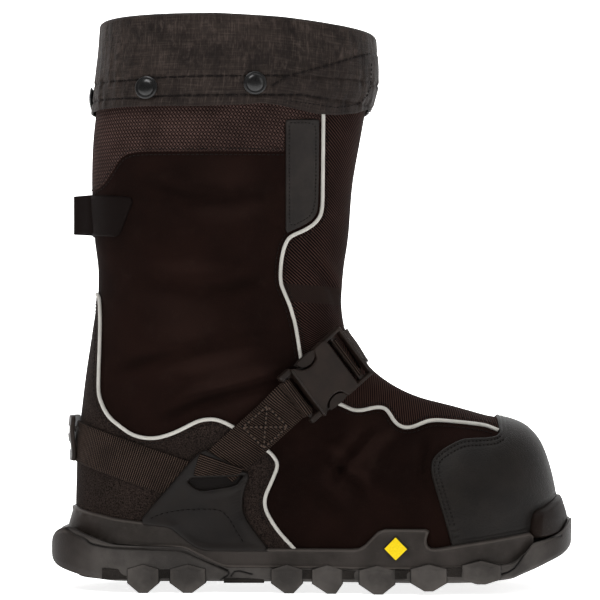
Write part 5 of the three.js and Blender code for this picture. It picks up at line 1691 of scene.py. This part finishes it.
def rolled_web(x0, x1, low, high, half, shift):
    """Webbing wrapped round a bar across the strap."""
    rows, columns = 15, 27
    angles = np.pi * np.arange(rows) / (rows - 1)
    x = (x0 + x1) / 2 - (x1 - x0) / 2 * np.cos(angles)
    z = low + (high - low) * np.maximum(np.sin(angles), 0.0) ** 0.55
    y = shift + half * np.linspace(-1, 1, columns)
    drop = np.where(np.isin(np.arange(columns), (0, columns - 1)), 0.35, 0.0)
    top = np.stack(np.broadcast_arrays(x[:, None], y, z[:, None] - drop), -1)
    under = np.stack(np.broadcast_arrays(x[:, None], y, low - 0.4), -1)
    run = run_along(np.column_stack([x, z]))
    coords = np.stack(np.broadcast_arrays(run[:, None], y), -1) / 1000
    points, faces, coords = grid_solid(top, under, coords)
    return on_buckle(points), faces, coords


buckle_webs = [rolled_web(14.9, 18.6, 1.4, 6.6, 13.6, 0.0), rolled_web(-23.8, -18.0, 0.6, 5.6, 12.6, 1.4)]
outward("buckle_web", buckle_webs, webbing)


# Tab at the back: leaves on the shaft and a flattened loop behind it
leaf = inside_by(grid_xz, rounded(rear_leaf, 1))[0]
overlaid("tab_leaves", leaf, tab_cloth, ["rear_tab"], base=0.25, edge=0.8,
         shape=lambda v, p: 1.05 + 0.35 * bump(v, 1.4, 0.8))
tab_low, tab_high = 229.6, 254.6
root_x, root_y = -142.0, 15.0


def loop_line(height):
    """The loop from above at a height, from the outer side round the back to the inner side."""
    sway = 0.5 * math.sin((height - tab_low) * 0.22)
    half = [(root_x + 7, root_y + 1.0), (root_x - 1, root_y - 0.6), (-148.5, 8.0 + sway),
            (-152.5, 4.0 + sway), (-154.6, 2.2 + sway * 0.6)]
    mirrored_half = [(root_x + 7, -root_y - 1.0), (root_x - 1, -root_y + 0.6), (-148.5, -8.0 + sway),
                     (-152.5, -4.0 + sway), (-154.6, -2.2 + sway * 0.6)]
    line = mirrored_half + [(-155.6, 0.0)] + half[::-1]
    return resampled(rounded(line, 2, closed=False), 1.0)


def make_tab_loop():
    """The loop as a band of cloth with thin edges."""
    columns, thick, edge_thick = 46, 0.65, 0.3
    heights = np.concatenate([[tab_low, tab_low + 0.25], np.linspace(tab_low + 0.7, tab_high - 0.7, 16),
                              [tab_high - 0.25, tab_high]])
    outer, inner = [], []
    for i, height in enumerate(heights):
        line = loop_line(height)
        at = np.linspace(0, len(line) - 1, columns)
        line = np.stack([np.interp(at, np.arange(len(line)), line[:, k]) for k in range(2)], -1)
        along = unit(np.gradient(line, axis=0))
        half_thick = edge_thick if i in (0, len(heights) - 1) else thick
        out = np.stack([along[:, 1], -along[:, 0]], -1) * half_thick
        z = np.full((columns, 1), height)
        outer.append(np.hstack([line + out, z]))
        inner.append(np.hstack([line - out, z]))
    coords = np.stack(np.broadcast_arrays(np.arange(columns) * 0.9, heights[:, None]), -1) / 1000
    return grid_solid(np.array(outer), np.array(inner), coords)


outward("tab_loop", [make_tab_loop()], tab_cloth)


# Insole
def make_insole():
    """A pad that lies on the sole's seat and thins towards its edge."""
    rows, columns, thickness, gap = 90, 27, 3.0, 0.3
    shares = 0.5 - 0.5 * np.cos(np.pi * (np.arange(rows) + 0.5) / rows)
    x = heel_x + foot_length * (0.018 + 0.962 * shares)
    centre, half, end = plan_at((x - heel_x) / foot_length)
    seat = sole_seat((x + sole_length / 2) / sole_length) * sole_height
    v = np.sin(np.pi / 2 * np.linspace(-1, 1, columns))
    thin_ends = np.where(np.isin(np.arange(rows), (0, rows - 1)), 0.4, 1.0)[:, None]
    lift = thickness * (1 - np.abs(v) ** 10) ** 0.5 * thin_ends
    y = centre[:, None] + v * (half * end - wall - 0.7)[:, None]
    low = (seat + gap)[:, None]
    high = np.maximum(seat[:, None] + gap + 0.05 + lift, low + 0.05)
    top, under = (np.stack(np.broadcast_arrays(x[:, None], y, z), -1) for z in (high, low))
    return grid_solid(top, under, top[..., :2] / 1000)


insole = outward("insole_sheet", [make_insole()], felt, ["insole"])


# Outsole: the cup's outside as rings along the sole, then its lugs
def sole_half(share):
    centre, half, end = plan_at(share)
    return centre, (half + sole_grow) * end, end


# Lines moulded into the sole's side, in the side view: the line, its depth, its half width
toe_block = [(112.0, 3.6), (116.0, 12.0), (126.0, 14.5), (131.5, 20.5), (139.5, 33.5), (160.0, 34.5)]
sole_marks = [
    (heel_groove, 1.5, 0.8), (toe_block, 1.2, 0.7),
    ([(-53.9, 14.3), (-52.2, 12.0), (-58.7, 8.0)], 0.9, 0.6),
    ([(-51.5, 10.6), (-48.6, 14.6), (-38.0, 12.0)], 0.9, 0.6),
]


def make_cup():
    """The sole's outside, rim and seat as one ring at each of many places along it."""
    stations, levels = 460, 56
    shares = 0.5 - 0.5 * np.cos(np.pi * np.linspace(0, 1, stations))
    shares = 0.5 * shares + 0.5 * np.linspace(0, 1, stations)
    x = (shares - 0.5) * sole_length
    centre, half, end = sole_half(shares)
    rim, under, seat = (line(shares) * sole_height for line in (sole_rim, sole_under, sole_seat))
    foot = (x - heel_x) / foot_length
    _, foot_half, foot_end = plan_at(foot)
    within = (foot > 0) & (foot < 1)
    hollow = np.where(within, foot_half * foot_end + 3.0 * np.minimum(foot_end * 1.6, 1), 0)
    hollow = np.clip(hollow, 0, np.maximum(half - 1.2, 0))
    floor_z = np.where(hollow > 1.0, np.minimum(seat, rim), rim)
    v = np.linspace(0, 1, levels)[None, :]
    z = under[:, None] + (rim - under)[:, None] * v
    bulge = 1 - np.abs(2 * v - 1) ** 3.2
    tuck = 1.6 * end[:, None] * np.maximum(0.15 - v, 0) / 0.15
    out = half[:, None] - 1.5 * end[:, None] * (1 - bulge) - tuck
    spots = np.stack([np.broadcast_to(x[:, None], z.shape).ravel(), z.ravel()], -1)
    # Where the moulded lines run, the sole is cut in and also painted dark as shade.
    painted_shade = np.zeros(z.shape)
    for line, depth, width in sole_marks:
        line = rounded(line, 1, closed=False)
        mark = bump(nearest_on(spots, line[:-1], line[1:])[0], 0, width).reshape(z.shape)
        out = out - depth * mark * end[:, None]
        painted_shade = np.maximum(painted_shade, mark)
    # A painted highlight in a thin band along the cup's top shoulder.
    painted_highlight = 0.35 * bump(v, 0.93, 0.05) * np.ones_like(z)
    rings, dark, light = [], [], []
    for i in range(stations):
        c, h, w = centre[i], half[i], hollow[i]
        edge = [(h - 1.0 * end[i], rim[i] + 0.2), (w + 0.5 * end[i], rim[i] + 0.1), (w, floor_z[i])]
        ring = [(c - o, k) for o, k in zip(out[i], z[i])] + [(c - y, k) for y, k in edge]
        ring += [(c - w * s, floor_z[i]) for s in (0.6, 0.2, -0.2, -0.6)]
        ring += [(c + y, k) for y, k in edge[::-1]] + [(c + o, k) for o, k in zip(out[i][::-1], z[i][::-1])]
        ring += [(c + h * s, under[i]) for s in (0.7, 0.35, 0.0, -0.35, -0.7)]
        rings.append([(x[i], y, height) for y, height in ring])
        for store, values in ((dark, painted_shade[i]), (light, painted_highlight[i])):
            store.append(np.concatenate([values, np.zeros(10), values[::-1], np.zeros(5)]))
    rings = np.array(rings)
    points = rings.reshape(-1, 3)
    cup = points, ring_faces(stations, rings.shape[1]), points[:, [0, 2]] / 1000
    outward("outsole_cup", [cup], sole_rubber, ["outsole"],
            fields={"painted_shade": np.ravel(dark), "painted_highlight": np.ravel(light)})


# Lugs along the sole: middle, width and tip as shares of its length, and lift
lug_rows = [
    (0.185, 0.060, 0.000, 0.0), (0.268, 0.068, 0.000, 0.0), (0.453, 0.060, 0.004, 0.0),
    (0.528, 0.058, 0.008, 0.0), (0.620, 0.068, 0.002, 0.0), (0.715, 0.068, 0.000, 2.4),
    (0.812, 0.074, 0.000, 6.6),
]
lug_shoulder, lug_peak, lug_waist, lug_foot = 15.4, 18.4, 6.4, 5.5
lug_proud, lug_inward, middle_lug_half = 1.9, 30.0, 13.0
widest_block = 30.0


def lug_outline(middle, width, tip, lift):
    x, half = (middle - 0.5) * sole_length, width * sole_length / 2
    foot = x + tip * sole_length
    low, shoulder = lug_waist + lift / 2, lug_shoulder + lift / 2
    return [(foot - lug_foot / 2, lift), (foot + lug_foot / 2, lift), (x + half, low), (x + half, shoulder),
            (x, lug_peak + lift / 2), (x - half, shoulder), (x - half, low)]


def lug_block(outline, y_out, y_in, bevel=1.0):
    """A lug across the sole from y_out to y_in with bevelled ends."""
    flat, faces, _ = plate(outline, 0.0, abs(y_in - y_out), bevel, 0)
    way = 1 if y_in > y_out else -1
    points = np.column_stack([flat[:, 0], y_out + way * flat[:, 2], flat[:, 1]])
    points[:, 2] = np.maximum(points[:, 2], min(z for _, z in outline))
    return points, faces, points[:, [0, 2]] / 1000


# Rings of a lug's outer face: size, how far out, and how much painted shade and painted highlight it gets
# there
face_rings = ((1.0, -6.0, 1.0, 0.0), (1.0, -0.9, 0.9, 0.0), (0.93, 0.0, 0.0, 0.35), (0.5, 1.1, 0.0, 0.1))


def lug_side(outline, y_face, way, middle):
    """The outer face of a lug: a bevelled rim and facets that rise to a flat middle."""
    outline, centre = np.array(outline, float), np.array(middle, float)
    rings = []
    for scale, out, _, _ in face_rings:
        flat = centre + (outline - centre) * scale
        rings.append(np.column_stack([flat[:, 0], np.full(len(flat), y_face + way * out), flat[:, 1]]))
    points = np.concatenate(rings)
    return points, ring_faces(len(rings), len(outline)), points[:, [0, 2]] / 1000


make_cup()
lug_parts, face_parts, block_parts, spans = [], [], [], []
for middle, width, tip, lift in lug_rows:
    centre, half, _ = sole_half(middle)
    reach = half + lug_proud
    outline = lug_outline(middle, width, tip, lift)
    x = (middle - 0.5) * sole_length
    spans.append((x - width * sole_length / 2, x + width * sole_length / 2, lift))
    for side in both:
        y_out, y_in = centre + side * (reach - 2.2), centre + side * (reach - lug_inward)
        lug_parts.append(lug_block(outline, y_out, y_in))
        face_parts.append(lug_side(outline, centre + side * (reach - 0.9), side, (x, 12.2 + lift / 2)))
    lug_parts.append(lug_block(outline, centre - middle_lug_half, centre + middle_lug_half, 0.9))

# Low rough blocks, in darker rubber as painted shade of the recesses they sit in: between lugs that stand
# close, behind the first lug and under the waist
blocks = []
for (_, start, low), (end, _, high) in zip(spans[:-1], spans[1:]):
    lift = (low + high) / 4
    if end - start <= widest_block:
        blocks.append((start - 0.4, end + 0.4, 9.2 + lift, 15.0 + lift, 12))
blocks += [(spans[0][0] - 16.0, spans[0][0] + 0.4, 8.6, 15.4, 10), (-56.0, -30.5, 6.4, 9.4, 10)]
for x0, x1, z0, z1, inward in blocks:
    centre, half, _ = sole_half((x0 + x1) / 2 / sole_length + 0.5)
    outline = [(x0, z0), (x1, z0), (x1, z1), (x0, z1)]
    for side in both:
        y_out, y_in = centre + side * (half + 0.35), centre + side * (half - inward)
        block_parts.append(lug_block(outline, y_out, y_in, 0.5))
outward("outsole_lugs", lug_parts, sole_rubber, sharp=20)
outward("outsole_blocks", block_parts, shaded_tread_rubber, sharp=20)
# Painted shade on the rim and sides of each lug face, a painted highlight just inside its rim.
corners = len(face_parts[0][0]) // len(face_rings)
dark, light = (np.tile(np.repeat(column, corners), len(face_parts)) for column in np.array(face_rings).T[2:])
outward("outsole_lug_faces", face_parts, sole_rubber, sharp=8,
        fields={"painted_shade": dark, "painted_highlight": light})


# Floor, light and camera
def floor_look():
    look = Look("studio_floor", Specular_IOR_Level=0.1)
    fine = look.noise(3, 3, 0.6)
    broad = look.noise(900, 2, 0.5)
    color = look.blend(look.fit(broad, 0.3, 0.7), rgb(252, 252, 252), rgb(255, 255, 255))
    look.rise(fine, 0.02, 0.3)
    look.put(look.shader.inputs["Emission Color"], color)
    look.shader.inputs["Emission Strength"].default_value = 0.8
    return look.finish(color, look.fit(fine, 0.3, 0.7, 0.85, 0.95))


def make_floor():
    """A floor that curves up into a wall behind the shoe, in metres."""
    columns, left, width, curve_start, radius, turns = 24, -9.0, 18.0, 1.1, 1.2, 24
    line = [(-9.0, 0.0), (-4.0, 0.0), (-1.6, 0.0), (curve_start, 0.0)]
    for k in range(1, turns + 1):
        a = math.pi / 2 * k / turns
        line.append((curve_start + radius * math.sin(a), radius - radius * math.cos(a)))
    line += [(curve_start + radius, 1.9), (curve_start + radius, 6.0)]
    points = [(left + width * k / columns, y, z) for y, z in line for k in range(columns + 1)]
    mesh = bpy.data.meshes.new("studio_floor")
    mesh.from_pydata(points, [], quads_of(len(line), columns + 1)[:, ::-1].tolist())
    mesh.materials.append(floor_look())
    mesh.uv_layers.new(name="UVMap")
    mesh.shade_smooth()
    obj = bpy.data.objects.new("studio_floor", mesh)
    bpy.context.scene.collection.objects.link(obj)


make_floor()


def area_light(name, place, aim, size, power):
    data = bpy.data.lights.new(name, "AREA")
    data.shape = "RECTANGLE"
    data.size, data.size_y = size
    data.energy = power
    obj = bpy.data.objects.new(name, data)
    obj.location = place
    obj.rotation_euler = (Vector(aim) - Vector(place)).to_track_quat("-Z", "Y").to_euler()
    bpy.context.scene.collection.objects.link(obj)


area_light("key", (-0.7, -1.1, 1.9), (0.0, 0.0, 0.15), (1.0, 0.8), 19)
area_light("fill", (1.4, -1.2, 1.0), (0.0, 0.0, 0.12), (0.8, 1.2), 5)
area_light("top", (0.0, 0.1, 1.9), (0.0, 0.0, 0.1), (1.6, 1.2), 14)
area_light("back", (0.0, 1.5, 1.4), (0.0, 2.0, 0.4), (3.0, 1.4), 20)

world = bpy.data.worlds.new("studio")
world.use_nodes = True
background = world.node_tree.nodes["Background"]
background.inputs["Color"].default_value = (1.0, 1.0, 1.0, 1.0)
background.inputs["Strength"].default_value = 0.12
bpy.context.scene.world = world

# The camera stands level at the outer side and shows 392.4 mm at the shoe's middle plane
camera_distance, shown_width, camera_height = 1500.0, 392.4, 143.8
camera_data = bpy.data.cameras.new("camera")
camera_data.lens = 36 * camera_distance / shown_width
camera_data.sensor_width = 36
camera_data.shift_x = -0.0204
camera_data.shift_y = 0.11
camera = bpy.data.objects.new("camera", camera_data)
camera.location = (0.0, -camera_distance / 1000, camera_height / 1000)
camera.rotation_euler = (math.radians(90), 0.0, 0.0)
bpy.context.scene.collection.objects.link(camera)
bpy.context.scene.camera = camera
bpy.context.scene.view_settings.view_transform = "Standard"
